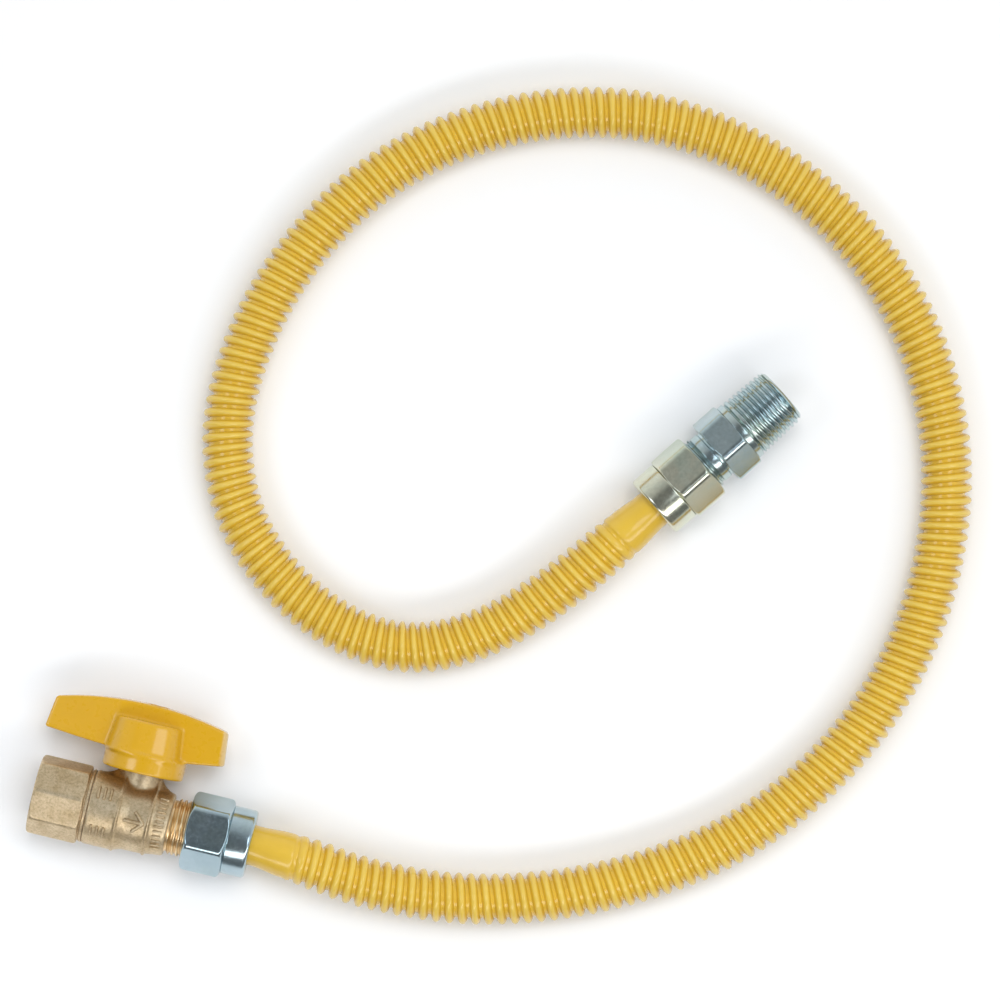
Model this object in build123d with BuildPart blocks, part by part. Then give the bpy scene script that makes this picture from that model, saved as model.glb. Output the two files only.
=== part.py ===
"""Quarter-turn brass gas valve with a coated flexible connector and a male pipe adapter.

Millimetres and degrees. The valve's pipe axis is X, from the inlet face at X = 0 towards the
hose; its stem axis is +Y; +Z is up from the surface that the whole assembly lies on. The hose
leaves the valve along +X, runs once round anticlockwise and ends inside its own loop.
"""

import os
from math import cos, pi, radians, sin, sqrt, tan

from build123d import *

os.makedirs("parts", exist_ok=True)

# ---- Pipe threads (1/2-14 NPT) and flare threads (3/4-16 UNF) ----
npt_pitch = 25.4 / 14
npt_taper = 1 / 32  # radius gained per millimetre of length
npt_land = 0.35
npt_female_crest = 9.16  # at the mouth
npt_female_root = 10.5
npt_male_crest = 10.36  # at the nose
npt_male_root = 9.1
flare_pitch = 25.4 / 16
flare_land = 0.3
flare_first_t = -4.0  # first ring of the valve's flare thread, before the nut's mouth
flare_crest = 9.5
flare_root = 8.65
thread_gap = 0.1  # radial clearance of the nut's thread over the fitting's

# ---- Inlet end piece: an eight-sided socket screwed into the body ----
octagon_flats = 25.0
octagon_turn = 8.5  # its front flat leans this far away from the handle
octagon_length = 16.8
inlet_neck_r = 12.0
inlet_shoulder_x = 17.8
end_seal_thickness = 0.4
joint_r = 10.3
inlet_nose_x = 24.3
inlet_thread_start = 0.4
inlet_thread_end = 13.3
socket_chamfer = 1.2
octagon_back_chamfer = 1.1
throat_r = 5.6

# ---- Body ----
body_face_x = inlet_shoulder_x + end_seal_thickness
barrel_r = 12.5
barrel_end_x = 27.6
ridge_height = 0.2
barrel_ridge = (28.1, 29.0)  # cast ridge where the barrel steps down to the waist
waist_r = 11.6
waist_start_x = 31.6
waist_end_x = 38.5
collar_ridge = (38.8, 39.4)  # second ridge, in front of the collar
collar_start_x = 40.0
collar_r = 10.4
collar_end_x = 45.7
collar_chamfer = 0.9
relief_r = 8.5
port_r = 4.75
stem_x = 33.0
boss_r = 6.35
boss_top_y = 19.5
boss_root_r = 9.6
boss_root_y = 9.6
boss_side_y = 13.8
boss_root_curve = 5.5
boss_foot_y = 8.0

# ---- Ball, seats and stem ----
ball_r = 8.4
cavity_r = 9.4
seat_gap = 0.1  # free play between ball and seats
seat_outer_r = 9.3
seat_bore_r = 4.9
seat_near = 4.7  # distance from the ball's centre to a seat's ball side
seat_far = 8.6  # and to its back
slot_width = 2.8
slot_floor_y = 5.9
tang_thickness = 2.6
tang_width = 7.0
tang_bottom_y = 6.2
stem_head_r = 4.6
stem_head_bottom_y = 8.9
stem_head_top_y = 10.4
stem_r = 3.55
stem_bore_r = 3.6
washer_top_y = 11.0
washer_play = 0.05
groove_bottom_r = 2.55
o_ring_section_r = 0.48
o_ring_ys = (13.6, 16.8)
o_ring_groove = 1.2
square_start_y = 21.0
square_size = 5.0
stem_top_y = 29.6
screw_hole_r = 2.0

# ---- Handle ----
skirt_r = 13.4
skirt_bottom_y = 15.0
skirt_top_y = 21.2
skirt_bore_r = 11.4
pocket_top_y = 20.3
hub_shift = -1.4  # the hub sits a little towards the long wing
hub_base = (25.0, 23.6)
hub_top = (22.6, 21.0)
hub_top_y = 32.2
wing_left_tip = (-1.9, 22.8)
wing_left_top = (-1.0, 33.1)
wing_crown = (29.0, 37.8)
wing_right_top = (57.8, 34.3)
wing_right_tip = (58.9, 23.2)
wing_root_y = 21.0
wing_root_xs = (19.0, 44.0)
wing_corner_r = 1.2
wing_half_thickness = 4.5
wing_thick_reach = 12.0  # distance from the stem over which the wings keep their thickness
left_tip_half = 2.5
right_tip_half = 3.6
right_tip_bevel = 1.8  # length of the bevelled strip at the right tip
bevelled_half = 1.8
lug_inner_r = 6.8
stop_outer_r = 8.8
stop_bottom_y = 16.2
stop_width = 60.0  # angle that the body's stop takes
handle_travel = 90.0
stop_slack = 1.0  # angle left free at each end of the travel
ledge_y = 30.0
counterbore_y = 33.0
counterbore_r = 3.7
screw_head_r = 3.45
screw_head_top_y = 36.2
screw_shank_r = 1.95
lock_washer_thickness = 0.8

# ---- Flare nuts, measured from the mouth (t = 0) to the sleeve's end ----
valve_nut_flats = 23.8
valve_nut_turn = 9.5  # lean of the front flat towards the handle's side
valve_nut_x = 51.7
valve_nut_hex = 14.0
valve_nut_sleeve = 8.0
valve_nut_sleeve_r = 11.5
adapter_nut_flats = 22.2
adapter_nut_turn = 16.0
adapter_nut_hex = 12.7
adapter_nut_sleeve = 9.0
adapter_nut_sleeve_r = 11.2
cone_base_t = 10.1
cone_base_r = 8.4
cone_tip_r = 5.6
flare_wall = 0.5
neck_inner_r = 5.8
neck_outer_r = 6.3
nut_neck_bore_r = 6.45
nut_sleeve_bore_r = 7.5
nut_bore_step_t = 15.0

# ---- Hose: a corrugated steel liner in a yellow coat, here as plain tubes ----
hose_r = 8.6
coat_inner_r = 7.8
liner_inner_r = 7.4
coat_cuff_r = 6.8
cuff_depth = 5.5  # how far the coat reaches into each nut's sleeve
coat_end_wall = 1.2
liner_end_wall = 0.5

# ---- Far end: position of the hose's end and direction of its fittings ----
far_end = Vector(178.0, 140.5, -0.9)
far_angle = 55.0
far_direction = Vector(cos(radians(far_angle)), sin(radians(far_angle)), 0)
far_lead = 15.0
hose_z = -4.7

# ---- Adapter: hex between a flare end and a male pipe end ----
adapter_flare_gap = 5.9
adapter_hex = 9.9
adapter_flats = 22.2
adapter_shoulder = 2.6
adapter_shoulder_r = 10.9
adapter_pipe_length = 17.0
nose_chamfer = 1.0

# The hose's route, point by point, from the valve's nut to the adapter's nut.
hose_start = Vector(valve_nut_x + valve_nut_hex + valve_nut_sleeve, 0, 0)
route = [
    hose_start,
    Vector(88, 0, 0),
    Vector(114, -3.5, -2),
    Vector(152, -1, hose_z),
    Vector(195, 14, hose_z),
    Vector(235, 41.5, hose_z),
    Vector(264.5, 83.5, hose_z),
    Vector(276.5, 131, hose_z),
    Vector(271, 182, hose_z),
    Vector(246.5, 226.5, hose_z),
    Vector(205, 257.5, hose_z),
    Vector(154, 270, hose_z),
    Vector(105, 259.5, hose_z),
    Vector(63, 230.5, hose_z),
    Vector(38, 188, hose_z),
    Vector(30.5, 143.5, hose_z),
    Vector(39, 111.5, hose_z),
    Vector(58, 90, hose_z),
    Vector(84, 76.5, hose_z),
    Vector(110, 74.5, hose_z),
    Vector(133, 86, hose_z),
    Vector(152, 105, -3),
    far_end - far_direction * far_lead,
    far_end,
]

# ---- Working planes and axes ----
pipe_axis = Axis((0, 0, 0), (1, 0, 0))
stem_axis = Axis((stem_x, 0, 0), (0, 1, 0))
stem_plane = Plane(origin=(stem_x, 0, 0), x_dir=(1, 0, 0), z_dir=(0, 0, 1))
far_mouth = far_end + far_direction * (adapter_nut_hex + adapter_nut_sleeve)
valve_nut_axis = Axis((valve_nut_x, 0, 0), (1, 0, 0))
adapter_nut_axis = Axis(far_mouth, far_direction * -1)
# side planes: x along the fitting from the nut's mouth towards the hose, y outwards
near_side = Plane(origin=(valve_nut_x, 0, 0), x_dir=(1, 0, 0), z_dir=(0, 0, 1))
far_side = Plane(origin=far_mouth, x_dir=far_direction * -1, z_dir=(0, 0, -1))


def across(origin, direction):
    """Plane square to an axis, with its x direction straight up."""
    return Plane(origin=origin, x_dir=(0, 0, 1), z_dir=direction)


def level(y):
    """Plane square to the stem at a height, with x along the pipe."""
    return Plane(origin=(stem_x, y, 0), x_dir=(1, 0, 0), z_dir=(0, 1, 0))


def turn(points, plane, axis, mode=Mode.ADD):
    """Add or cut the solid that a closed outline makes when it turns about an axis."""
    with BuildSketch(plane) as outline:
        with BuildLine():
            Polyline(*points, close=True)
        make_face()
    revolve(outline.sketch, axis=axis, mode=mode)


def prism(plane, flats, sides, rotation, length, mode=Mode.ADD):
    """Regular prism across its flats."""
    with BuildSketch(plane) as section:
        RegularPolygon(flats / 2, sides, major_radius=False, rotation=rotation)
    extrude(section.sketch, amount=length, mode=mode)


def disc(plane, radius, length, mode=Mode.ADD):
    """Round bar, or a hole of that shape."""
    with BuildSketch(plane) as section:
        Circle(radius)
    extrude(section.sketch, amount=length, mode=mode)


def ring_thread(start, end, pitch, crest, root, land, taper=0.0):
    """Corners of a thread's rings from start to end: flat crests and roots, sloping flanks."""
    flank = (pitch - 2 * land) / 2
    points = []
    count = int((end - start) / pitch + 1e-6)
    for index in range(count):
        x = start + index * pitch
        gain = taper * (x - start)
        points += [
            (x, crest + gain),
            (x + land, crest + gain),
            (x + land + flank, root + gain),
            (x + 2 * land + flank, root + gain),
        ]
    x = start + count * pitch
    gain = taper * (x - start)
    points += [(x, crest + gain), (x + land, crest + gain)]
    return points


def sector(radius, middle, width):
    """Corners of a wedge wide enough to cut a sector of up to 180 degrees."""
    steps = 4
    angles = [radians(middle + width * (i / steps - 0.5)) for i in range(steps + 1)]
    return [(0, 0)] + [(radius * cos(a), radius * sin(a)) for a in angles]


def flare_end(back):
    """Outer corners of a male flare end from its root (t = back) to the tip of its nose."""
    rings = ring_thread(back, cone_base_t - 0.8, flare_pitch, flare_crest, flare_root, flare_land)
    tip_t = cone_base_t + cone_base_r - cone_tip_r
    return rings + [
        (cone_base_t - 0.5, cone_base_r),
        (cone_base_t, cone_base_r),
        (tip_t, cone_tip_r),
    ]


def nut(side, axis, origin, direction, flats, rotation, hex_length, sleeve_length, sleeve_r):
    """Hexagonal flare nut with a round sleeve: outside, thread rings, cone seat and bores."""
    corner_r = flats / 2 / cos(radians(30))
    rim = flats / 2 - 0.3
    length = hex_length + sleeve_length
    prism(across(origin, direction), flats, 6, rotation, hex_length)
    envelope = [
        (0, 0),
        (0, rim - 0.6),
        (0.4, rim),
        (1.6, corner_r + 0.05),
        (hex_length - 1.7, corner_r + 0.05),
        (hex_length - 0.4, rim),
        (hex_length, rim - 0.4),
        (hex_length, 0),
    ]
    turn(envelope, side, axis, Mode.INTERSECT)
    sleeve = [
        (hex_length - 1, 0),
        (hex_length - 1, sleeve_r),
        (length - 0.9, sleeve_r),
        (length, sleeve_r - 0.7),
        (length, 0),
    ]
    turn(sleeve, side, axis)
    rings = ring_thread(
        flare_first_t + 2.5 * flare_pitch,
        cone_base_t - 0.8,
        flare_pitch,
        flare_root + thread_gap,
        flare_crest + thread_gap,
        flare_land,
    )
    flare_face = cone_base_t + cone_base_r + flare_wall * 2**0.5  # t + r on the flare's outside
    cavity = [
        (-1, 0),
        (-1, flare_crest + 0.4),
        *rings,
        (rings[-1][0] + flare_pitch / 2 - flare_land, flare_crest + thread_gap),
        (flare_face - flare_crest - thread_gap, flare_crest + thread_gap),
        (flare_face - nut_neck_bore_r, nut_neck_bore_r),
        (nut_bore_step_t, nut_neck_bore_r),
        (nut_bore_step_t + 1, nut_sleeve_bore_r),
        (length - 0.8, nut_sleeve_bore_r),
        (length, nut_sleeve_bore_r + 0.4),
        (length + 1, nut_sleeve_bore_r + 0.4),
        (length + 1, 0),
    ]
    turn(cavity, side, axis, Mode.SUBTRACT)


def neck(side, axis, length):
    """Flared end and straight neck of the liner, with the wall that closes onto the tube."""
    inner = cone_base_t + cone_base_r  # t + r on the flare's inside
    outer = inner + flare_wall * 2**0.5
    rim_r = cone_base_r - 0.2
    step = flare_wall / 2**0.5
    wall_t = length + coat_end_wall
    outline = [
        (inner - rim_r, rim_r),
        (inner - rim_r + step, rim_r + step),
        (outer - neck_outer_r, neck_outer_r),
        (wall_t, neck_outer_r),
        (wall_t, coat_inner_r),
        (wall_t + liner_end_wall, coat_inner_r),
        (wall_t + liner_end_wall, neck_inner_r),
        (inner - neck_inner_r, neck_inner_r),
    ]
    turn(outline, side, axis)


def cuff(side, axis, length):
    """The coat's thinner cuff inside a nut's sleeve and its end wall against the nut."""
    outline = [
        (length - cuff_depth, neck_outer_r),
        (length - cuff_depth, coat_cuff_r),
        (length, coat_cuff_r),
        (length, hose_r),
        (length + coat_end_wall, hose_r),
        (length + coat_end_wall, neck_outer_r),
    ]
    turn(outline, side, axis)


def corner_radii(points):
    """Largest gentle radius at each corner: 0.45 of the shorter run over tan(half the turn)."""
    radii = []
    for before, corner, after in zip(points, points[1:], points[2:]):
        arrive, leave = corner - before, after - corner
        half_turn = radians(arrive.get_angle(leave)) / 2
        radii.append(0.45 * min(arrive.length, leave.length) / tan(half_turn))
    return radii


def hose_tube(outer_r, inner_r, trim):
    """Sweep a tube along the route, starting and ending a little inside its ends."""
    radii = corner_radii(route)
    first = route[0] + (route[1] - route[0]).normalized() * trim
    last = route[-1] + (route[-2] - route[-1]).normalized() * trim
    points = [first, *route[1:-1], last]
    with BuildLine() as path:
        FilletPolyline(*points, radius=radii)
    with BuildSketch(across(first, route[1] - route[0])) as section:
        Circle(outer_r)
        Circle(inner_r, mode=Mode.SUBTRACT)
    route_wire = path.wires()[0]
    sweep(section.sketch, path=route_wire)
    return route_wire.length


def cut_section_volume(outer_r, inner_r, length):
    """Volume of a straight tube, to compare with the swept one."""
    return pi * (outer_r**2 - inner_r**2) * length


# ---- Inlet end piece ----
with BuildPart() as inlet_end:
    prism(across((0, 0, 0), (1, 0, 0)), octagon_flats, 8, 22.5 + octagon_turn, octagon_length)
    octagon_corner = octagon_flats / 2 / cos(radians(22.5))
    turn(
        [
            (0, 0),
            (0, octagon_flats / 2 - socket_chamfer / 2),
            (socket_chamfer, octagon_corner),
            (octagon_length - octagon_back_chamfer, octagon_corner),
            (octagon_length, inlet_neck_r),
            (octagon_length, 0),
        ],
        Plane.XY,
        pipe_axis,
        Mode.INTERSECT,
    )
    turn(
        [
            (octagon_length - 1, 0),
            (octagon_length - 1, inlet_neck_r),
            (inlet_shoulder_x - 0.3, inlet_neck_r),
            (inlet_shoulder_x, inlet_neck_r - 0.3),
            (inlet_shoulder_x, joint_r),
            (inlet_nose_x, joint_r),
            (inlet_nose_x, 0),
        ],
        Plane.XY,
        pipe_axis,
    )
    inlet_rings = ring_thread(
        inlet_thread_start,
        inlet_thread_end,
        npt_pitch,
        npt_female_crest,
        npt_female_root,
        npt_land,
        -npt_taper,
    )
    turn(
        [
            (-1, 0),
            (-1, npt_female_root + 0.3),
            (0, npt_female_root + 0.3),
            *inlet_rings,
            (inlet_thread_end + 0.6, npt_female_crest - 0.6),
            (inlet_thread_end + 2.6, throat_r),
            (inlet_nose_x + 1, throat_r),
            (inlet_nose_x + 1, 0),
        ],
        Plane.XY,
        pipe_axis,
        Mode.SUBTRACT,
    )
inlet_end.part.label = "inlet_end"

# ---- Thin sealing ring between the end piece and the body ----
with BuildPart() as end_seal:
    with BuildSketch(across((inlet_shoulder_x, 0, 0), (1, 0, 0))):
        Circle(inlet_neck_r - 0.4)
        Circle(joint_r, mode=Mode.SUBTRACT)
    extrude(amount=end_seal_thickness)
end_seal.part.label = "end_seal"

# ---- Body: barrel, waist, collar, flare end and stem boss in one forging ----
with BuildPart() as valve_body:
    near_flare = [(valve_nut_x + t, r) for t, r in flare_end(flare_first_t)]
    turn(
        [
            (body_face_x, 0),
            (body_face_x, barrel_r - 0.8),
            (body_face_x + 0.6, barrel_r - 0.2),
            (body_face_x + 1.6, barrel_r),
            (barrel_end_x, barrel_r),
            (barrel_ridge[0], barrel_r + ridge_height),
            (barrel_ridge[1], barrel_r + ridge_height),
            (waist_start_x - 0.8, waist_r + 0.1),
            (waist_start_x, waist_r),
            (waist_end_x, waist_r - 0.1),
            (collar_ridge[0], waist_r + ridge_height),
            (collar_ridge[1], waist_r + ridge_height),
            (collar_start_x, waist_r - 0.5),
            (collar_end_x - collar_chamfer, collar_r),
            (collar_end_x, collar_r - collar_chamfer),
            (collar_end_x, relief_r),
            (valve_nut_x + flare_first_t - 0.4, relief_r),
            *near_flare,
            (near_flare[-1][0], 0),
        ],
        Plane.XY,
        pipe_axis,
    )
    with BuildSketch(stem_plane):
        with BuildLine():
            Polyline((0, boss_foot_y), (boss_root_r, boss_foot_y), (boss_root_r, boss_root_y))
            RadiusArc((boss_root_r, boss_root_y), (boss_r, boss_side_y), boss_root_curve)
            Polyline((boss_r, boss_side_y), (boss_r, boss_top_y - 0.4), (boss_r - 0.4, boss_top_y))
            Polyline((boss_r - 0.4, boss_top_y), (0, boss_top_y), (0, boss_foot_y))
        make_face()
    revolve(axis=stem_axis)
    # stop that the handle's notch runs along
    with BuildSketch(level(stop_bottom_y)):
        Circle(stop_outer_r)
        Circle(boss_r - 1, mode=Mode.SUBTRACT)
        with BuildLine():
            Polyline(*sector(2 * stop_outer_r, 45, stop_width), close=True)
        make_face(mode=Mode.INTERSECT)
    extrude(amount=boss_top_y - 0.4 - stop_bottom_y)
    # bore for the end piece, ball cavity, outlet port and stem bores
    turn(
        [
            (body_face_x - 1, 0),
            (body_face_x - 1, joint_r),
            (inlet_nose_x + 0.1, joint_r),
            (inlet_nose_x + 0.1, cavity_r),
            (stem_x + seat_far, cavity_r),
            (stem_x + seat_far, port_r),
            (valve_nut_x + valve_nut_hex, port_r),
            (valve_nut_x + valve_nut_hex, 0),
        ],
        Plane.XY,
        pipe_axis,
        Mode.SUBTRACT,
    )
    disc(level(0), stem_head_r + 0.2, washer_top_y, Mode.SUBTRACT)
    disc(level(0), stem_bore_r, boss_top_y + 1, Mode.SUBTRACT)
valve_body.part.label = "valve_body"


def seat(side):
    """Plastic seat ring with a spherical face towards the ball."""
    reach = ball_r + seat_gap
    bevel_r = sqrt(reach**2 - seat_near**2)
    ball_side = [
        (stem_x + side * sqrt(reach**2 - r**2), r)
        for r in (seat_bore_r, (seat_bore_r + bevel_r) / 2, bevel_r)
    ]
    back_x = stem_x + side * seat_far
    with BuildSketch(Plane.XY) as outline:
        with BuildLine():
            ThreePointArc(*ball_side)
            Polyline(ball_side[-1], (ball_side[-1][0], seat_outer_r), (back_x, seat_outer_r))
            Polyline((back_x, seat_outer_r), (back_x, seat_bore_r), ball_side[0])
        make_face()
    revolve(outline.sketch, axis=pipe_axis)


with BuildPart() as inlet_seat:
    seat(-1)
inlet_seat.part.label = "inlet_seat"

with BuildPart() as outlet_seat:
    seat(1)
outlet_seat.part.label = "outlet_seat"

# ---- Ball: bored along the pipe, slotted across the top for the stem ----
with BuildPart() as ball:
    with Locations((stem_x, 0, 0)):
        Sphere(ball_r)
    disc(across((stem_x - ball_r - 1, 0, 0), (1, 0, 0)), port_r, 2 * ball_r + 2, Mode.SUBTRACT)
    with BuildSketch(level(slot_floor_y)):
        Rectangle(slot_width, 4 * ball_r)
    extrude(amount=ball_r, mode=Mode.SUBTRACT)
ball.part.label = "ball"

# ---- Stem: tang, captive head, sealed shank and square end ----
with BuildPart() as stem:
    shank = [(0, stem_head_bottom_y), (stem_head_r, stem_head_bottom_y)]
    shank += [(stem_head_r, stem_head_top_y), (stem_r, stem_head_top_y)]
    for ring_y in o_ring_ys:
        low, high = ring_y - o_ring_groove / 2, ring_y + o_ring_groove / 2
        shank += [(stem_r, low), (groove_bottom_r, low), (groove_bottom_r, high), (stem_r, high)]
    shank += [(stem_r, square_start_y), (0, square_start_y)]
    turn(shank, stem_plane, stem_axis)
    with BuildSketch(level(tang_bottom_y)):
        Rectangle(tang_thickness, tang_width)
    extrude(amount=stem_head_bottom_y - tang_bottom_y + 0.5)
    with BuildSketch(level(square_start_y - 0.5)):
        Rectangle(square_size, square_size)
    extrude(amount=stem_top_y - square_start_y + 0.5)
    disc(level(square_start_y), screw_hole_r, stem_top_y, Mode.SUBTRACT)
stem.part.label = "stem"

# ---- Thrust washer above the stem's head ----
with BuildPart() as thrust_washer:
    with BuildSketch(level(stem_head_top_y + washer_play)):
        Circle(stem_head_r)
        Circle(stem_bore_r, mode=Mode.SUBTRACT)
    extrude(amount=washer_top_y - stem_head_top_y - washer_play)
thrust_washer.part.label = "thrust_washer"

# ---- O-rings in the stem's two grooves ----
o_rings = {}
for name, ring_y in zip(("stem_o_ring_lower", "stem_o_ring_upper"), o_ring_ys):
    with BuildPart() as o_ring:
        with BuildSketch(stem_plane):
            with Locations((groove_bottom_r + 0.03 + o_ring_section_r, ring_y)):
                Circle(o_ring_section_r)
        revolve(axis=stem_axis)
    o_ring.part.label = name
    o_rings[name] = o_ring.part

# ---- Handle: skirt over the boss, hub and two uneven wings ----
with BuildPart() as handle:
    # wings: side view cut to a plan that thins towards both tips
    wing_roots = [(x, wing_root_y) for x in wing_root_xs]
    with BuildSketch(Plane.XY.offset(-wing_half_thickness)):
        with BuildLine():
            ThreePointArc(wing_left_top, wing_crown, wing_right_top)
            Polyline(wing_right_top, wing_right_tip, wing_roots[1], wing_roots[0])
            Polyline(wing_roots[0], wing_left_tip, wing_left_top)
        make_face()
    extrude(amount=2 * wing_half_thickness)
    fillet(handle.edges().filter_by(Axis.Z), radius=wing_corner_r)
    plan = [
        (wing_left_tip[0] - 1, left_tip_half),
        (stem_x - wing_thick_reach, wing_half_thickness),
        (stem_x + wing_thick_reach, wing_half_thickness),
        (wing_right_tip[0] - right_tip_bevel, right_tip_half),
        (wing_right_tip[0] + 1, bevelled_half),
    ]
    plan_outline = plan + [(x, -half) for x, half in reversed(plan)]
    with BuildSketch(Plane(origin=(0, 0, 0), x_dir=(1, 0, 0), z_dir=(0, 1, 0))):
        with BuildLine():
            Polyline(*plan_outline, close=True)
        make_face()
    extrude(amount=2 * wing_crown[1], mode=Mode.INTERSECT)
    # hub, tapering upwards, with rounded corners and top edge
    with BuildSketch(level(skirt_top_y - 0.2)):
        with Locations((hub_shift, 0)):
            RectangleRounded(*hub_base, radius=9.0)
    with BuildSketch(level(hub_top_y)):
        with Locations((hub_shift, 0)):
            RectangleRounded(*hub_top, radius=8.0)
    loft()
    turn(
        [
            (0, skirt_bottom_y),
            (skirt_r - 0.7, skirt_bottom_y),
            (skirt_r, skirt_bottom_y + 0.7),
            (skirt_r, skirt_top_y - 0.8),
            (skirt_r - 0.8, skirt_top_y),
            (0, skirt_top_y),
        ],
        stem_plane,
        stem_axis,
    )
    # pocket over the boss; a thick ring inside it leaves a notch for the body's stop
    disc(level(skirt_bottom_y - 1), skirt_bore_r, stop_bottom_y - skirt_bottom_y + 0.7, Mode.SUBTRACT)
    disc(level(skirt_bottom_y - 1), lug_inner_r, pocket_top_y - skirt_bottom_y + 1, Mode.SUBTRACT)
    notch_width = stop_width + handle_travel + 2 * stop_slack
    # the handle turns back over the stop, so at rest the notch lies to one side of it
    with BuildSketch(level(stop_bottom_y - 0.5)):
        Circle(skirt_bore_r)
        with BuildLine():
            Polyline(*sector(2 * skirt_bore_r, 45 + handle_travel / 2, notch_width), close=True)
        make_face(mode=Mode.INTERSECT)
    extrude(amount=pocket_top_y - stop_bottom_y + 0.5, mode=Mode.SUBTRACT)
    # square hole, screw hole and counterbore down the stem axis
    disc(level(pocket_top_y - 1), stem_r + 0.15, square_start_y - pocket_top_y + 1.1, Mode.SUBTRACT)
    with BuildSketch(level(square_start_y)):
        Rectangle(square_size + 0.1, square_size + 0.1)
    extrude(amount=ledge_y - square_start_y, mode=Mode.SUBTRACT)
    disc(level(ledge_y - 1), screw_hole_r + 0.2, 10, Mode.SUBTRACT)
    disc(level(counterbore_y), counterbore_r, 10, Mode.SUBTRACT)
handle.part.label = "handle"

# ---- Lock washer and screw that hold the handle on ----
with BuildPart() as lock_washer:
    with BuildSketch(level(counterbore_y)):
        Circle(screw_head_r)
        Circle(screw_hole_r + 0.1, mode=Mode.SUBTRACT)
    extrude(amount=lock_washer_thickness)
lock_washer.part.label = "lock_washer"

with BuildPart() as handle_screw:
    head_y = counterbore_y + lock_washer_thickness
    turn(
        [
            (0, head_y - 10.5),
            (screw_shank_r - 0.6, head_y - 10.5),
            (screw_shank_r, head_y - 9.9),
            (screw_shank_r, head_y),
            (screw_head_r, head_y),
            (screw_head_r, screw_head_top_y - 0.9),
            (screw_head_r - 0.9, screw_head_top_y),
            (0, screw_head_top_y),
        ],
        stem_plane,
        stem_axis,
    )
    with BuildSketch(level(screw_head_top_y - 1.4)):
        Rectangle(4.2, 0.9)
        Rectangle(0.9, 4.2)
    extrude(amount=2, mode=Mode.SUBTRACT)
handle_screw.part.label = "handle_screw"

# ---- Flare nuts ----
with BuildPart() as valve_nut:
    nut(
        near_side,
        valve_nut_axis,
        (valve_nut_x, 0, 0),
        (1, 0, 0),
        valve_nut_flats,
        30 - valve_nut_turn,
        valve_nut_hex,
        valve_nut_sleeve,
        valve_nut_sleeve_r,
    )
valve_nut.part.label = "valve_nut"

with BuildPart() as adapter_nut:
    nut(
        far_side,
        adapter_nut_axis,
        far_mouth,
        far_direction * -1,
        adapter_nut_flats,
        30 + adapter_nut_turn,
        adapter_nut_hex,
        adapter_nut_sleeve,
        adapter_nut_sleeve_r,
    )
adapter_nut.part.label = "adapter_nut"

# ---- Hose liner and coat ----
near_length = valve_nut_hex + valve_nut_sleeve
far_length = adapter_nut_hex + adapter_nut_sleeve
with BuildPart() as hose_liner:
    liner_trim = coat_end_wall + liner_end_wall / 2
    liner_path = hose_tube(coat_inner_r, liner_inner_r, liner_trim)
    liner_swept = hose_liner.part.volume
    neck(near_side, valve_nut_axis, near_length)
    neck(far_side, adapter_nut_axis, far_length)
hose_liner.part.label = "hose_liner"

with BuildPart() as hose_jacket:
    coat_path = hose_tube(hose_r, coat_inner_r, 0)
    coat_swept = hose_jacket.part.volume
    cuff(near_side, valve_nut_axis, near_length)
    cuff(far_side, adapter_nut_axis, far_length)
hose_jacket.part.label = "hose_jacket"

# ---- Adapter: flare end, hexagon, shoulder and tapered male pipe end ----
with BuildPart() as flare_adapter:
    hex_t = -adapter_flare_gap
    shoulder_t = hex_t - adapter_hex
    pipe_t = shoulder_t - adapter_shoulder
    nose_t = pipe_t - adapter_pipe_length
    male_flare = flare_end(flare_first_t - flare_pitch)
    pipe_rings = ring_thread(
        nose_chamfer,
        adapter_pipe_length - npt_land,
        npt_pitch,
        npt_male_crest,
        npt_male_root,
        npt_land,
        npt_taper,
    )
    pipe_side = [(nose_t + n, r) for n, r in pipe_rings]
    turn(
        [
            (nose_t, 0),
            (nose_t, npt_male_crest - nose_chamfer),
            *pipe_side,
            (pipe_t + 0.3, adapter_shoulder_r - 1.2),
            (pipe_t + 0.6, adapter_shoulder_r),
            (shoulder_t, adapter_shoulder_r),
            (shoulder_t, relief_r),
            (hex_t, relief_r),
            *male_flare,
            (male_flare[-1][0], 0),
        ],
        far_side,
        adapter_nut_axis,
    )
    with BuildPart(mode=Mode.PRIVATE) as adapter_hexagon:
        prism(
            across(far_mouth - far_direction * shoulder_t, far_direction * -1),
            adapter_flats,
            6,
            30 + adapter_nut_turn,
            adapter_hex,
        )
        hex_corner = adapter_flats / 2 / cos(radians(30))
        turn(
            [
                (shoulder_t, 0),
                (shoulder_t, adapter_flats / 2 - 0.5),
                (shoulder_t + 1.2, hex_corner + 0.05),
                (hex_t - 1.2, hex_corner + 0.05),
                (hex_t, adapter_flats / 2 - 0.5),
                (hex_t, 0),
            ],
            far_side,
            adapter_nut_axis,
            Mode.INTERSECT,
        )
    add(adapter_hexagon.part)
    disc(
        across(far_mouth - far_direction * (nose_t - 1), far_direction * -1),
        port_r + 1.0,
        60,
        Mode.SUBTRACT,
    )
flare_adapter.part.label = "flare_adapter"

for piece in (
    inlet_end,
    end_seal,
    valve_body,
    inlet_seat,
    outlet_seat,
    ball,
    stem,
    thrust_washer,
    handle,
    lock_washer,
    handle_screw,
    valve_nut,
    adapter_nut,
    hose_liner,
    hose_jacket,
    flare_adapter,
):
    export_step(piece.part, f"parts/{piece.part.label}.step")
for name, ring in o_rings.items():
    export_step(ring, f"parts/{name}.step")

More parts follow.
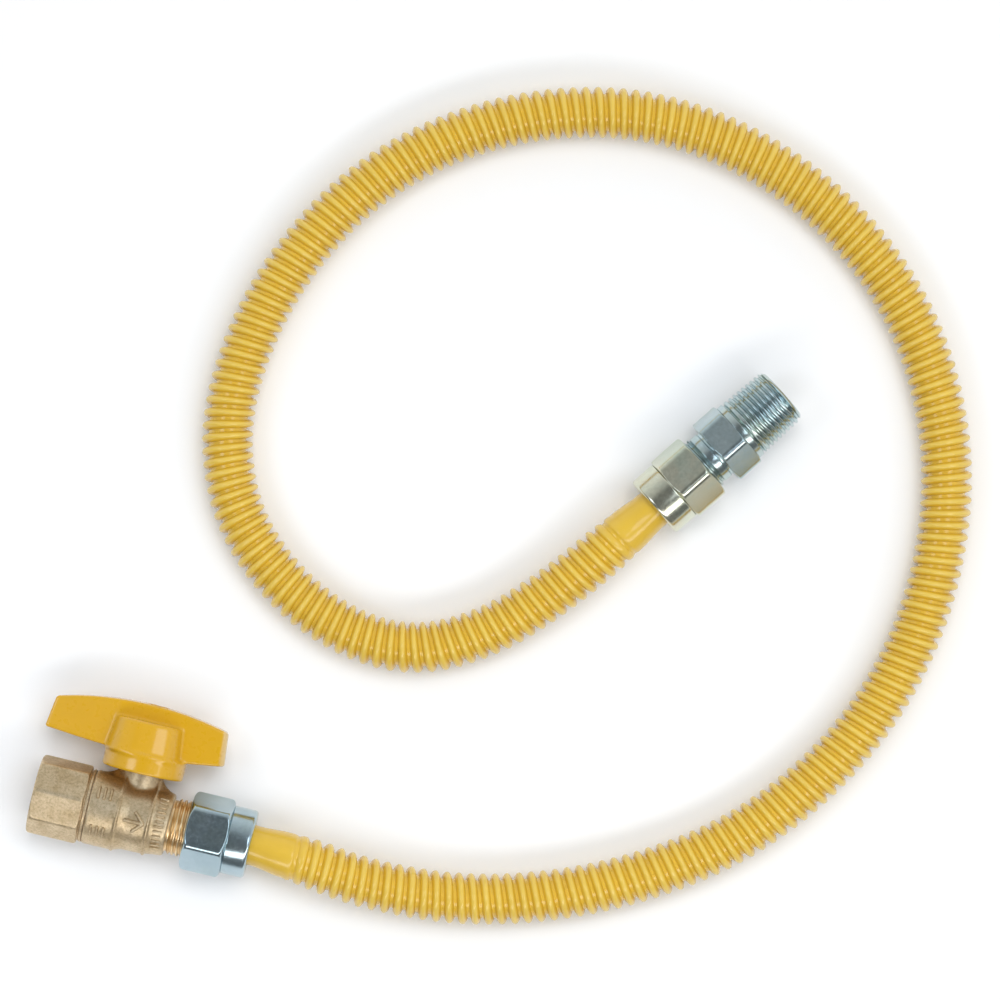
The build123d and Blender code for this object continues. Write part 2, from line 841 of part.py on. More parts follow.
coat_plain = cut_section_volume(hose_r, coat_inner_r, coat_path)
liner_plain = cut_section_volume(coat_inner_r, liner_inner_r, liner_path)
print("hose radii", [round(r, 1) for r in corner_radii(route)])
print("hose path length", round(coat_path, 2))
print("coat swept volume", round(coat_swept, 1), "straight", round(coat_plain, 1))
print("liner swept volume", round(liner_swept, 1), "straight", round(liner_plain, 1))
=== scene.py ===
"""Looks of a gas valve with a coated corrugated connector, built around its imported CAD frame.

Metres, in the row frame: +X runs along the valve's pipe axis towards the hose, +Y up its stem
and +Z up from the surface that it lies on. Outlines are listed in millimetres and scaled by MM.
"""

from math import cos, pi, radians, sin

import bmesh
import bpy
import numpy as np
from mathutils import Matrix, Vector


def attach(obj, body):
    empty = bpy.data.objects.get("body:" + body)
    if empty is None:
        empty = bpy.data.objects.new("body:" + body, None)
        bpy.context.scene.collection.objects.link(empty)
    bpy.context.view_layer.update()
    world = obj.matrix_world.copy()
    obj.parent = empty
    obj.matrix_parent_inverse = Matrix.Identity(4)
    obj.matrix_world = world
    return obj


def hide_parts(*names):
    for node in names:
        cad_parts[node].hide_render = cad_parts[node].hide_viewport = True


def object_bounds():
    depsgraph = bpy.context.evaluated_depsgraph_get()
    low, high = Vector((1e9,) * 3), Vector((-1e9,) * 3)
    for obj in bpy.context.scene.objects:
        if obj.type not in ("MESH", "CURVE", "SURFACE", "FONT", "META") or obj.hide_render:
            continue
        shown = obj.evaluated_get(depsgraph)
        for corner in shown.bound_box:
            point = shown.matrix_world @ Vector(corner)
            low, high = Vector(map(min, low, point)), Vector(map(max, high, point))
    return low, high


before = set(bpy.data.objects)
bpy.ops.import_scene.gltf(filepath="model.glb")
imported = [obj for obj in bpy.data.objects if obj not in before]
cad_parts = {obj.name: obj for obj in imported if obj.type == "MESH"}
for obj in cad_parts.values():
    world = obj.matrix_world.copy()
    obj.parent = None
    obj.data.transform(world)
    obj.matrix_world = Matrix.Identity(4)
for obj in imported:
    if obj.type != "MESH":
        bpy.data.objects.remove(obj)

cad_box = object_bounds()
MM = 0.001
TURN = 2 * pi
TINY = 1e-12

# ---------------------------------------------------------------- camera and cord

VIEW_CENTRE = (0.1275, 0.1311)
VIEW_WIDTH = 0.3333
VIEW_TURN = radians(13.5)
LENS, SENSOR = 200.0, 36.0  # millimetres
HOSE_DIAMETER = 17.2 * MM
FAR_ANGLE = radians(55.0)
FAR_DIRECTION = Vector((cos(FAR_ANGLE), sin(FAR_ANGLE), 0.0))
FAR_END = Vector((0.1780, 0.1405, -0.0009))

# the hose's route, point by point, from the valve's nut to the adapter's nut
ROUTE = [
    (0.0737, 0.0, 0.0),
    (0.088, -0.0005, 0.0),
    (0.114, -0.0043, -0.002),
    (0.152, -0.0016, -0.0047),
    (0.195, 0.014, -0.0047),
    (0.235, 0.0415, -0.0047),
    (0.2645, 0.0835, -0.0047),
    (0.2765, 0.131, -0.0047),
    (0.271, 0.182, -0.0047),
    (0.2465, 0.2265, -0.0047),
    (0.205, 0.2575, -0.0047),
    (0.154, 0.270, -0.0047),
    (0.105, 0.2595, -0.0047),
    (0.063, 0.2305, -0.0047),
    (0.038, 0.188, -0.0047),
    (0.0305, 0.1435, -0.0047),
    (0.039, 0.1115, -0.0047),
    (0.058, 0.090, -0.0047),
    (0.084, 0.0765, -0.0047),
    (0.110, 0.0745, -0.0047),
    (0.133, 0.086, -0.0047),
    (0.152, 0.105, -0.003),
    tuple(FAR_END - FAR_DIRECTION * 0.015),
    tuple(FAR_END),
]
ROUTE_STEPS = 40  # points of the smooth curve for each point of the route


def route_line():
    """Points of the smooth curve that the route's points control."""
    curve = bpy.data.curves.new("route", "CURVE")
    curve.dimensions = "3D"
    curve.resolution_u = ROUTE_STEPS
    spline = curve.splines.new("NURBS")
    spline.points.add(len(ROUTE) - 1)
    for point, place in zip(spline.points, ROUTE):
        point.co = (*place, 1.0)
    spline.order_u = 3
    spline.use_endpoint_u = True
    carrier = bpy.data.objects.new("route", curve)
    mesh = bpy.data.meshes.new_from_object(carrier)
    line = np.array([vertex.co[:] for vertex in mesh.vertices])
    bpy.data.objects.remove(carrier)
    bpy.data.curves.remove(curve)
    bpy.data.meshes.remove(mesh)
    return line


def add_camera():
    """A long lens straight above the loop, turned a little about its own axis."""
    data = bpy.data.cameras.new("camera")
    data.lens = LENS
    data.sensor_width = SENSOR
    camera = bpy.data.objects.new("camera", data)
    camera.location = (*VIEW_CENTRE, VIEW_WIDTH * LENS / SENSOR)
    camera.rotation_euler = (0.0, 0.0, VIEW_TURN)
    bpy.context.scene.collection.objects.link(camera)
    bpy.context.scene.camera = camera


# ---------------------------------------------------------------- mesh helpers

MERGE_DISTANCE = 2e-6
SLIVER = 1e-7
CORNER_SHARE = 0.45  # a rounded corner takes no more of the lines beside it


def mesh_piece(name, shells, materials, sharp_angle=radians(50), values=None):
    """Object from shells of (points, faces, material indices), merged where points coincide.

    values is a name and one number for each point of a single shell, kept as an attribute.
    """
    work = bmesh.new()
    layer = work.verts.layers.float.new(values[0]) if values else None
    for points, faces, slots in shells:
        made = [work.verts.new(point) for point in points.reshape(-1, 3)]
        if values:
            for vertex, value in zip(made, values[1].ravel()):
                vertex[layer] = value
        for face, slot in zip(faces, slots):
            new_face = work.faces.new([made[i] for i in face])
            new_face.smooth = True
            new_face.material_index = slot
        bmesh.ops.remove_doubles(work, verts=made, dist=MERGE_DISTANCE)
    bmesh.ops.dissolve_degenerate(work, dist=SLIVER, edges=work.edges)
    bmesh.ops.recalc_face_normals(work, faces=work.faces)
    mesh = bpy.data.meshes.new(name)
    work.to_mesh(mesh)
    work.free()
    mesh.set_sharp_from_angle(angle=sharp_angle)
    for material in materials:
        mesh.materials.append(material)
    piece = bpy.data.objects.new(name, mesh)
    bpy.context.scene.collection.objects.link(piece)
    return piece


def sheet_faces(rows, columns):
    """Quads of a grid of points."""
    index = np.arange(rows * columns).reshape(rows, columns)
    quads = [index[:-1, :-1], index[1:, :-1], index[1:, 1:], index[:-1, 1:]]
    return np.stack(quads, axis=-1).reshape(-1, 4).tolist()


def soften(points, radius=0.25, steps=4):
    """Outline with rounded corners; a third number in a point is that corner's own radius."""
    points = [tuple(point) if len(point) == 3 else (*point, radius) for point in points]
    result = [points[0][:2]]
    for before, corner, after in zip(points, points[1:], points[2:]):
        here = np.array(corner[:2])
        back = np.array(before[:2]) - here
        ahead = np.array(after[:2]) - here
        run_back, run_ahead = np.linalg.norm(back), np.linalg.norm(ahead)
        start = here + back / run_back * min(corner[2], CORNER_SHARE * run_back)
        end = here + ahead / run_ahead * min(corner[2], CORNER_SHARE * run_ahead)
        for share in np.linspace(0, 1, steps + 1):
            spot = (1 - share) ** 2 * start + 2 * share * (1 - share) * here + share**2 * end
            result.append(tuple(spot))
    result.append(points[-1][:2])
    return result


def smooth_min(a, b, width):
    """Smaller of two values, blended where they are nearly equal."""
    mix = np.maximum(width - np.abs(a - b), 0.0) / width
    return np.minimum(a, b) - mix * mix * width / 4


def smooth_max(a, b, width):
    """Larger of two values, blended where they are nearly equal."""
    return -smooth_min(-a, -b, width)


def ease(value, low, high):
    """Smooth step from 0 to 1 between two values."""
    share = np.clip((value - low) / (high - low), 0.0, 1.0)
    return share * share * (3 - 2 * share)


# one turn of a thread: a wide crest, a sloping flank, a narrow root and a flank
THREAD_PHASES = np.array([0.0, 0.05, 0.30, 0.35, 0.57, 0.62, 0.70, 0.75, 0.96, 1.0])
THREAD_HEIGHTS = np.array([0.92, 1.0, 1.0, 0.92, 0.12, 0.0, 0.0, 0.12, 0.80, 0.92])


class Turned:
    """A closed solid of rows of points around an axis: plain, faceted or threaded rows."""

    def __init__(self, origin, along, turn=0.0, columns=240):
        self.origin = np.array(origin)
        self.along = np.array(along)
        up = np.array((0.0, 0.0, 1.0))
        side = np.cross(self.along, up)
        self.up = cos(turn) * up + sin(turn) * side
        self.side = np.cross(self.along, self.up)
        self.angles = np.linspace(0, TURN, columns + 1)
        self.around = np.ones_like(self.angles)
        self.bands = []
        self.slots = []

    def add(self, t, r, slot):
        """Rows of places along the axis and distances from it, and their material index."""
        self.bands.append((t, r))
        self.slots += [slot] * len(t)

    def plain(self, points, slot=0):
        """Round rows through (t, r) points in millimetres."""
        t, r = np.array(points).T
        self.add(np.outer(t, self.around), np.outer(r, self.around), slot)

    def facets(self, points, flats, sides, corner, edge):
        """Rows cut to a polygon across flats, with rounded corners and edges."""
        step = TURN / sides
        offset = (self.angles + step / 2) % step - step / 2
        near = flats / 2 / np.cos(offset)
        beside = flats / 2 / np.cos(step - np.abs(offset))
        polygon = smooth_min(near, beside, corner)
        t, r = np.array(points).T
        radius = smooth_min(np.outer(r, self.around), polygon[None, :], edge)
        self.add(np.outer(t, self.around), radius, 0)

    def thread(self, start, end, pitch, crest, root, taper=0.0, run_in=0.0, run_out=0.0, slot=0):
        """Right-hand helical thread rows from start to end; the radii are those at the start.

        The ridge rises from the root over run_in, and the groove fills up over run_out.
        """
        span = abs(end - start)
        sign = 1 if end > start else -1
        twist = sign * self.angles / TURN
        turn_count = int(span / pitch) + 3
        phases = np.concatenate([THREAD_PHASES[:-1] + i for i in range(-1, turn_count)])
        travel = np.clip(phases[:, None] + twist[None, :], 0.0, span / pitch)
        height = np.interp((travel - twist[None, :]) % 1.0, THREAD_PHASES, THREAD_HEIGHTS)
        distance = travel * pitch
        if run_in:
            height = height * ease(distance, 0.0, run_in)
        if run_out:
            height = 1 - (1 - height) * ease(span - distance, 0.0, run_out)
        radius = root + (crest - root) * height + taper * distance
        self.add(start + sign * distance, radius, slot)

    def shell(self):
        """Points, faces and material indices, closed from the last row back to the first."""
        t = np.vstack([band[0] for band in self.bands] + [self.bands[0][0][:1]]) * MM
        r = np.vstack([band[1] for band in self.bands] + [self.bands[0][1][:1]]) * MM
        swing = np.cos(self.angles)[:, None] * self.up + np.sin(self.angles)[:, None] * self.side
        points = self.origin + t[..., None] * self.along + r[..., None] * swing[None, :, :]
        slots = np.repeat(self.slots[1:] + self.slots[:1], len(self.angles) - 1)
        return points, sheet_faces(*t.shape), slots.tolist()


PULLS = 4
PULL_SHARE = 0.4  # of a cell: the longest pull
PROBE_SHARE = 0.02  # of a cell: how far to each side the slope is measured
LEAST_STEEP = 0.2  # smallest squared slope that a pull is divided by


def surface_of(distance, low, high, cell):
    """Shell of the surface where a distance function is zero, pulled onto it step by step."""
    axes = [np.arange(a, b + cell, cell) for a, b in zip(low, high)]
    grid = np.stack(np.meshgrid(*axes, indexing="ij"), axis=-1)
    field = distance(grid[..., 0], grid[..., 1], grid[..., 2])
    inside = field < 0
    size = tuple(n - 1 for n in field.shape)
    total = np.zeros(size + (3,))
    count = np.zeros(size)
    for axis in range(3):
        others = [a for a in range(3) if a != axis]
        for first in (0, 1):
            for second in (0, 1):
                low_cut = [None, None, None]
                high_cut = [None, None, None]
                low_cut[axis] = slice(0, -1)
                high_cut[axis] = slice(1, None)
                for other, step in zip(others, (first, second)):
                    cut = slice(step, field.shape[other] - 1 + step)
                    low_cut[other] = cut
                    high_cut[other] = cut
                a, b = field[tuple(low_cut)], field[tuple(high_cut)]
                crossing = (a < 0) != (b < 0)
                share = np.where(crossing, a / np.where(crossing, a - b, 1.0), 0.0)
                spot = grid[tuple(low_cut)].copy()
                spot[..., axis] += share * cell
                total += np.where(crossing[..., None], spot, 0.0)
                count += crossing
    mixed = count > 0
    points = total[mixed] / count[mixed][:, None]
    index = np.full(size, -1)
    index[mixed] = np.arange(len(points))
    faces = []
    for axis in range(3):
        one, two = [a for a in range(3) if a != axis]
        low_cut = [slice(1, -1)] * 3
        high_cut = [slice(1, -1)] * 3
        low_cut[axis] = slice(0, -1)
        high_cut[axis] = slice(1, None)
        a, b = inside[tuple(low_cut)], inside[tuple(high_cut)]
        corners = []
        for back_one, back_two in ((1, 1), (0, 1), (0, 0), (1, 0)):
            cut = [slice(None)] * 3
            cut[one] = slice(1 - back_one, size[one] - back_one)
            cut[two] = slice(1 - back_two, size[two] - back_two)
            corners.append(index[tuple(cut)])
        quads = np.stack(corners, axis=-1)
        forward = (a & ~b) if axis != 1 else (b & ~a)
        backward = (b & ~a) if axis != 1 else (a & ~b)
        faces.append(quads[forward])
        faces.append(quads[backward][:, ::-1])
    probe = PROBE_SHARE * cell
    for _ in range(PULLS):
        ahead = np.stack([distance(*(points + step).T) for step in np.eye(3) * probe], axis=-1)
        behind = np.stack([distance(*(points - step).T) for step in np.eye(3) * probe], axis=-1)
        slope = (ahead - behind) / (2 * probe)
        steep = np.maximum((slope**2).sum(axis=1), LEAST_STEEP)
        shift = (distance(*points.T) / steep)[:, None] * slope
        length = np.linalg.norm(shift, axis=1, keepdims=True)
        points = points - shift * np.minimum(1.0, PULL_SHARE * cell / np.maximum(length, TINY))
    quads = np.concatenate(faces)
    return points * MM, quads.tolist(), [0] * len(quads)


def swept_shell(rows):
    """Closed shell of rows of points, each row a closed loop, with both ends filled."""
    loops = np.concatenate([rows, rows[:, :1]], axis=1)
    middle = rows.mean(axis=1, keepdims=True) * np.ones_like(loops)
    points = np.concatenate([middle[:1], loops, middle[-1:]])
    faces = sheet_faces(*points.shape[:2])
    return points, faces, [0] * len(faces)


def bar(along, radius, low, high, bar_radius, edge):
    """Distance to a round bar, from the place along its axis and the distance from it."""
    return smooth_max(radius - bar_radius, np.maximum(low - along, along - high), edge)


def finish_piece(piece, body, slot, *nodes):
    """Let a piece ride on a body and stand for CAD nodes; slot is not used."""
    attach(piece, body)
    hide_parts(*nodes)
    return piece


# ---------------------------------------------------------------- materials

MIX_INPUTS = (0, 6, 7)  # a colour mix node's factor and its two colours
MIX_OUTPUT = 2


def fill_ramp(node, stops):
    """Set a colour ramp's stops, each a position and a colour or a grey level."""
    elements = node.color_ramp.elements
    while len(elements) < len(stops):
        elements.new(0.5)
    for element, (position, colour) in zip(elements, stops):
        rgb = colour if isinstance(colour, tuple) else (colour, colour, colour)
        element.position = position
        element.color = (*rgb, 1.0)


class Paint:
    """A node material whose colour, roughness and bump come from noise over the object."""

    def __init__(self, name, **settings):
        self.material = bpy.data.materials.new(name)
        self.material.use_nodes = True
        self.tree = self.material.node_tree
        self.shader = self.tree.nodes["Principled BSDF"]
        self.place = self.tree.nodes.new("ShaderNodeTexCoord").outputs["Object"]
        for socket, value in settings.items():
            self.shader.inputs[socket.replace("_", " ")].default_value = value

    def link(self, output, target):
        self.tree.links.new(output, target)

    def noise(self, scale, detail, stretch=(1.0, 1.0, 1.0), roughness=0.55):
        """Noise over the object; scale counts cells per metre."""
        mapping = self.tree.nodes.new("ShaderNodeMapping")
        mapping.inputs["Scale"].default_value = stretch
        self.link(self.place, mapping.inputs["Vector"])
        node = self.tree.nodes.new("ShaderNodeTexNoise")
        node.inputs["Scale"].default_value = scale
        node.inputs["Detail"].default_value = detail
        node.inputs["Roughness"].default_value = roughness
        self.link(mapping.outputs["Vector"], node.inputs["Vector"])
        return node.outputs["Fac"]

    def ramp(self, factor, stops):
        """Colours or grey levels along a factor."""
        node = self.tree.nodes.new("ShaderNodeValToRGB")
        fill_ramp(node, stops)
        self.link(factor, node.inputs["Fac"])
        return node.outputs["Color"]

    def mix(self, factor, first, second, blend="MIX"):
        """Mix of two colours or outputs."""
        node = self.tree.nodes.new("ShaderNodeMix")
        node.data_type = "RGBA"
        node.blend_type = blend
        for value, number in zip((factor, first, second), MIX_INPUTS):
            socket = node.inputs[number]
            if isinstance(value, bpy.types.NodeSocket):
                self.link(value, socket)
            elif isinstance(value, tuple):
                socket.default_value = (*value, 1.0)
            else:
                socket.default_value = value
        return node.outputs[MIX_OUTPUT]

    def attribute(self, name):
        """Per-point value stored on the mesh."""
        node = self.tree.nodes.new("ShaderNodeAttribute")
        node.attribute_name = name
        return node.outputs["Fac"]

    def bumps(self, *layers):
        """Bumps stacked from (height output, depth in metres, strength)."""
        normal = None
        for height, depth, strength in layers:
            node = self.tree.nodes.new("ShaderNodeBump")
            node.inputs["Distance"].default_value = depth
            node.inputs["Strength"].default_value = strength
            self.link(height, node.inputs["Height"])
            if normal:
                self.link(normal, node.inputs["Normal"])
            normal = node.outputs["Normal"]
        self.link(normal, self.shader.inputs["Normal"])

    def colour(self, output):
        self.link(output, self.shader.inputs["Base Color"])

    def roughness(self, factor, low, high):
        self.link(self.ramp(factor, [(0.3, low), (0.7, high)]), self.shader.inputs["Roughness"])


def cast_brass():
    """Sandblasted forging: tan metal broken up by a coarse bright and dark grain."""
    paint = Paint("cast_brass", Metallic=0.96)
    cloud = paint.noise(190, 4, roughness=0.6)
    grain = paint.noise(1250, 5, roughness=0.75)
    fine = paint.noise(4200, 3, roughness=0.7)
    tone = paint.ramp(cloud, [(0.32, (0.60, 0.455, 0.27)), (0.68, (0.785, 0.64, 0.435))])
    speckle = paint.ramp(
        grain, [(0.34, (0.60, 0.56, 0.50)), (0.5, (0.88, 0.86, 0.82)), (0.66, (1.0, 1.0, 1.0))]
    )
    paint.colour(paint.mix(0.85, tone, speckle, "MULTIPLY"))
    paint.roughness(grain, 0.48, 0.34)
    paint.bumps((cloud, 0.0004, 0.25), (grain, 0.0002, 0.4), (fine, 0.00008, 0.3))
    return paint.material


def cut_brass():
    """Machined yellow brass with fine turning marks."""
    paint = Paint("cut_brass", Metallic=1.0)
    tone = paint.noise(260, 3)
    lines = paint.noise(3000, 2, stretch=(1.0, 0.03, 0.03))
    paint.colour(paint.ramp(tone, [(0.3, (0.76, 0.54, 0.27)), (0.7, (0.88, 0.70, 0.46))]))
    paint.roughness(lines, 0.26, 0.36)
    paint.bumps((lines, 0.00001, 0.2))
    return paint.material


def zinc(name, low, high, accent):
    """Bright zinc plate with a faint coloured bloom and fine marks."""
    paint = Paint(name, Metallic=1.0)
    cloud = paint.noise(90, 3)
    bloom = paint.noise(70, 3)
    marks = paint.noise(900, 5, roughness=0.65)
    tone = paint.ramp(cloud, [(0.3, low), (0.7, high)])
    spread = paint.ramp(bloom, [(0.46, 0.0), (0.62, 0.5)])
    mottle = paint.ramp(marks, [(0.35, (0.90, 0.90, 0.90)), (0.65, (1.0, 1.0, 1.0))])
    paint.colour(paint.mix(1.0, paint.mix(spread, tone, accent), mottle, "MULTIPLY"))
    paint.roughness(marks, 0.15, 0.24)
    paint.bumps((cloud, 0.0002, 0.04), (marks, 0.00002, 0.06))
    return paint.material


def hose_coat():
    """Glossy yellow plastic with painted light and shade over the ribs: paler crests as a
    painted highlight, darker flanks as painted shade, and valleys painted lighter to offset
    their shade.
    """
    paint = Paint("hose_coat", Coat_Weight=0.75, Coat_Roughness=0.12)
    crest = paint.attribute("crest")
    cloud = paint.noise(120, 4)
    skin = paint.noise(700, 3)
    # painted light and shade by height on the rib: valleys lighter to offset their shade, flanks
    # darker as painted shade, crests paler as a painted highlight
    tone = paint.ramp(
        crest,
        [
            (0.0, (0.775, 0.52, 0.035)),
            (0.3, (0.74, 0.478, 0.03)),
            (0.6, (0.725, 0.458, 0.03)),
            (1.0, (0.77, 0.532, 0.075)),
        ],
    )
    patches = paint.ramp(cloud, [(0.35, (0.95, 0.93, 0.86)), (0.65, (1.0, 1.0, 1.0))])
    paint.colour(paint.mix(1.0, tone, patches, "MULTIPLY"))
    paint.roughness(skin, 0.38, 0.52)
    paint.bumps((cloud, 0.0004, 0.12), (skin, 0.00008, 0.12))
    return paint.material


def handle_enamel():
    """Glossy yellow-orange enamel with a slight orange-peel skin, and a painted highlight that
    makes the short wing's tip paler.
    """
    paint = Paint("handle_enamel", Coat_Weight=0.6, Coat_Roughness=0.06)
    cloud = paint.noise(60, 1)
    peel = paint.noise(450, 1)
    tone = paint.ramp(cloud, [(0.3, (0.645, 0.348, 0.002)), (0.7, (0.665, 0.362, 0.003))])
    # painted highlight: a pale sandy colour mixed in over the short wing's tip bevel
    tip_highlight = paint.ramp(paint.attribute("tip_highlight_share"), [(0.0, 0.0), (1.0, 0.75)])
    paint.colour(paint.mix(tip_highlight, tone, (0.68, 0.50, 0.24)))
    paint.roughness(peel, 0.26, 0.32)
    paint.bumps((cloud, 0.0003, 0.025), (peel, 0.00002, 0.04))
    return paint.material


def plain_metal(name, low, high, roughness):
    """Steel, chrome or another plain metal, lightly marked."""
    paint = Paint(name, Metallic=1.0)
    cloud = paint.noise(200, 3)
    marks = paint.noise(2200, 3, stretch=(1.0, 0.2, 1.0))
    paint.colour(paint.ramp(cloud, [(0.3, low), (0.7, high)]))
    paint.roughness(marks, *roughness)
    paint.bumps((marks, 0.00002, 0.4))
    return paint.material


def seal_material(name, low, high, roughness):
    """Waxy plastic or rubber with a soft mottled skin."""
    paint = Paint(name)
    cloud = paint.noise(500, 4)
    paint.colour(paint.ramp(cloud, [(0.35, low), (0.65, high)]))
    paint.roughness(cloud, *roughness)
    paint.bumps((cloud, 0.00005, 0.3))
    return paint.material


CAST_BRASS = cast_brass()
CUT_BRASS = cut_brass()
ZINC_BLUE = zinc("zinc_blue", (0.39, 0.50, 0.545), (0.50, 0.605, 0.65), (0.45, 0.55, 0.53))
ZINC_YELLOW = zinc("zinc_yellow", (0.58, 0.64, 0.51), (0.71, 0.75, 0.62), (0.76, 0.69, 0.52))
ZINC_GREY = zinc("zinc_grey", (0.44, 0.55, 0.565), (0.57, 0.67, 0.68), (0.55, 0.60, 0.50))
HOSE_COAT = hose_coat()
ENAMEL = handle_enamel()
STEEL = plain_metal("screw_steel", (0.55, 0.57, 0.60), (0.68, 0.70, 0.72), (0.22, 0.38))
CHROME = plain_metal("ball_chrome", (0.62, 0.62, 0.64), (0.70, 0.70, 0.72), (0.05, 0.12))
STAINLESS = plain_metal("liner_steel", (0.50, 0.50, 0.49), (0.60, 0.60, 0.58), (0.25, 0.4))
WHITE_SEAL = seal_material("white_seal", (0.80, 0.80, 0.76), (0.88, 0.88, 0.85), (0.4, 0.55))
BLACK_SEAL = seal_material("black_seal", (0.015, 0.015, 0.016), (0.03, 0.03, 0.03), (0.5, 0.7))


# ---------------------------------------------------------------- hose

CUFF_DEPTH = 5.5 * MM
CUFF_RADIUS = 6.8 * MM
CUFF_END_RADIUS = 7.7 * MM
VALLEY_RADIUS = 6.3 * MM
CREST_RADIUS = HOSE_DIAMETER / 2
CUFF_LENGTH = 12.5 * MM
RIB_GROWTH = 12.0 * MM
CUFF_STRAIGHT = 1.5 * MM
RIB_LEAD = 2.0 * MM  # the ribs begin to grow this far before the cuff's end
# shares of the hose's length and the pitch there, in millimetres
RIB_PITCHES = ((0.0, 4.27), (0.12, 4.2), (0.35, 3.95), (0.75, 3.95), (1.0, 4.1))
# one rib: a round bump over three quarters of the pitch, then a flat valley
RIB_WIDTH = 0.76
RIB_FULLNESS, RIB_ROUNDNESS = 2.2, 0.72
RIB_PHASES = np.array([0.0, 0.03, 0.08, 0.15, 0.25, 0.38, 0.51, 0.61, 0.68, 0.73, 0.76])
HOSE_COLUMNS = 40
HOSE_SAMPLES = 4000
CUFF_TONE = 0.6  # the smooth cuffs take their colour between valley and crest


def make_hose():
    """Helically ribbed coat along the route, with a smooth cuff in each nut."""
    line = route_line()
    back, ahead = line[0] - line[1], line[-1] - line[-2]
    first = line[0] + back / np.linalg.norm(back) * CUFF_DEPTH
    last = line[-1] + ahead / np.linalg.norm(ahead) * CUFF_DEPTH
    line = np.vstack([first, line, last])
    run = np.concatenate([[0.0], np.cumsum(np.linalg.norm(np.diff(line, axis=0), axis=1))])
    length = run[-1]
    # turns of the helix counted along the hose, for its slowly changing pitch
    shares, pitches = np.array(RIB_PITCHES).T
    fine = np.linspace(0, length, HOSE_SAMPLES)
    pitch = np.interp(fine / length, shares, pitches) * MM
    turns = np.concatenate([[0.0], np.cumsum(np.diff(fine) / pitch[:-1])])
    angles = np.linspace(0, TURN, HOSE_COLUMNS + 1)
    phases = np.concatenate([RIB_PHASES + i for i in range(-1, int(turns[-1]) + 2)])
    travel = np.clip(phases[:, None] + angles[None, :] / TURN, 0.0, turns[-1])
    place = np.interp(travel, turns, fine)
    # nudged, so that rounding doesn't turn the start of a rib into the end of the last one
    phase = (travel - angles[None, :] / TURN + 1e-9) % 1.0
    across_rib = np.clip(2 * phase / RIB_WIDTH - 1, -1, 1)
    crest = (1 - np.abs(across_rib) ** RIB_FULLNESS) ** RIB_ROUNDNESS
    from_end = np.minimum(place, length - place) - CUFF_DEPTH
    grown = ease(from_end, CUFF_LENGTH - RIB_LEAD, CUFF_LENGTH + RIB_GROWTH)
    flare = ease(from_end, CUFF_STRAIGHT, CUFF_LENGTH)
    cuff = CUFF_RADIUS + (CUFF_END_RADIUS - CUFF_RADIUS) * flare
    ribbed = VALLEY_RADIUS + (CREST_RADIUS - VALLEY_RADIUS) * crest
    radius = cuff + (ribbed - cuff) * grown
    centre = np.stack([np.interp(place, run, line[:, a]) for a in range(3)], axis=-1)
    slope = np.gradient(line, run, axis=0)
    along = np.stack([np.interp(place, run, slope[:, a]) for a in range(3)], axis=-1)
    along /= np.linalg.norm(along, axis=-1, keepdims=True)
    up = np.array((0.0, 0.0, 1.0)) - along[..., 2:] * along
    up /= np.linalg.norm(up, axis=-1, keepdims=True)
    side = np.cross(along, up)
    out = np.cos(angles)[None, :, None] * up + np.sin(angles)[None, :, None] * side
    # the first and last rows close the ends inside the nuts
    points = np.concatenate([centre[:1], centre + radius[..., None] * out, centre[-1:]])
    height = np.pad(CUFF_TONE + (crest - CUFF_TONE) * grown, ((1, 1), (0, 0)))
    faces = sheet_faces(*points.shape[:2])
    shell = (points, faces, [0] * len(faces))
    piece = mesh_piece("connector_hose", [shell], [HOSE_COAT], values=("crest", height))
    finish_piece(piece, "valve", "hose_yellow", "hose_jacket", "hose_liner")
    return piece, line, length


add_camera()
hose, hose_line, hose_length = make_hose()


# ---------------------------------------------------------------- turned fittings

X_AXIS = (1.0, 0.0, 0.0)
VALVE_NUT_X = 51.7
STEM_X = 33.0
NPT_PITCH = 25.4 / 14
NPT_TAPER = 1 / 32
FLARE_PITCH = 25.4 / 16
FLARE_CREST = 9.5
FLARE_ROOT = 8.65
NUT_THREAD_CREST = 9.56  # clears the fitting's thread however the nut is turned
NUT_THREAD_ROOT = 10.15
SEAT_SUM = 19.207  # place plus radius on the nut's cone seat
PORT_RADIUS = 4.75
NUT_LENGTH = 21.7  # of the adapter's nut, from its mouth to its sleeve's end
FAR_MOUTH = FAR_END + FAR_DIRECTION * NUT_LENGTH * MM
FAR_BACK = tuple(-FAR_DIRECTION)
# how far each polygon's front flat or corner leans about its axis
INLET_TURN = radians(13.0)
VALVE_NUT_TURN = radians(-9.5)
FAR_TURN = radians(16.0)
OCTAGON_FLATS = 25.0
VALVE_NUT_FLATS = 23.8
FAR_FLATS = 22.2


def arc(start, end, steps=8, first="radius"):
    """Quarter ellipse between two (t, r) points, leaving along the radius or the axis."""
    sweep = np.linspace(0, pi / 2, steps + 1)
    slow, fast = 1 - np.cos(sweep), np.sin(sweep)
    share_t, share_r = (slow, fast) if first == "radius" else (fast, slow)
    t = start[0] + (end[0] - start[0]) * share_t
    r = start[1] + (end[1] - start[1]) * share_r
    return list(zip(t, r))


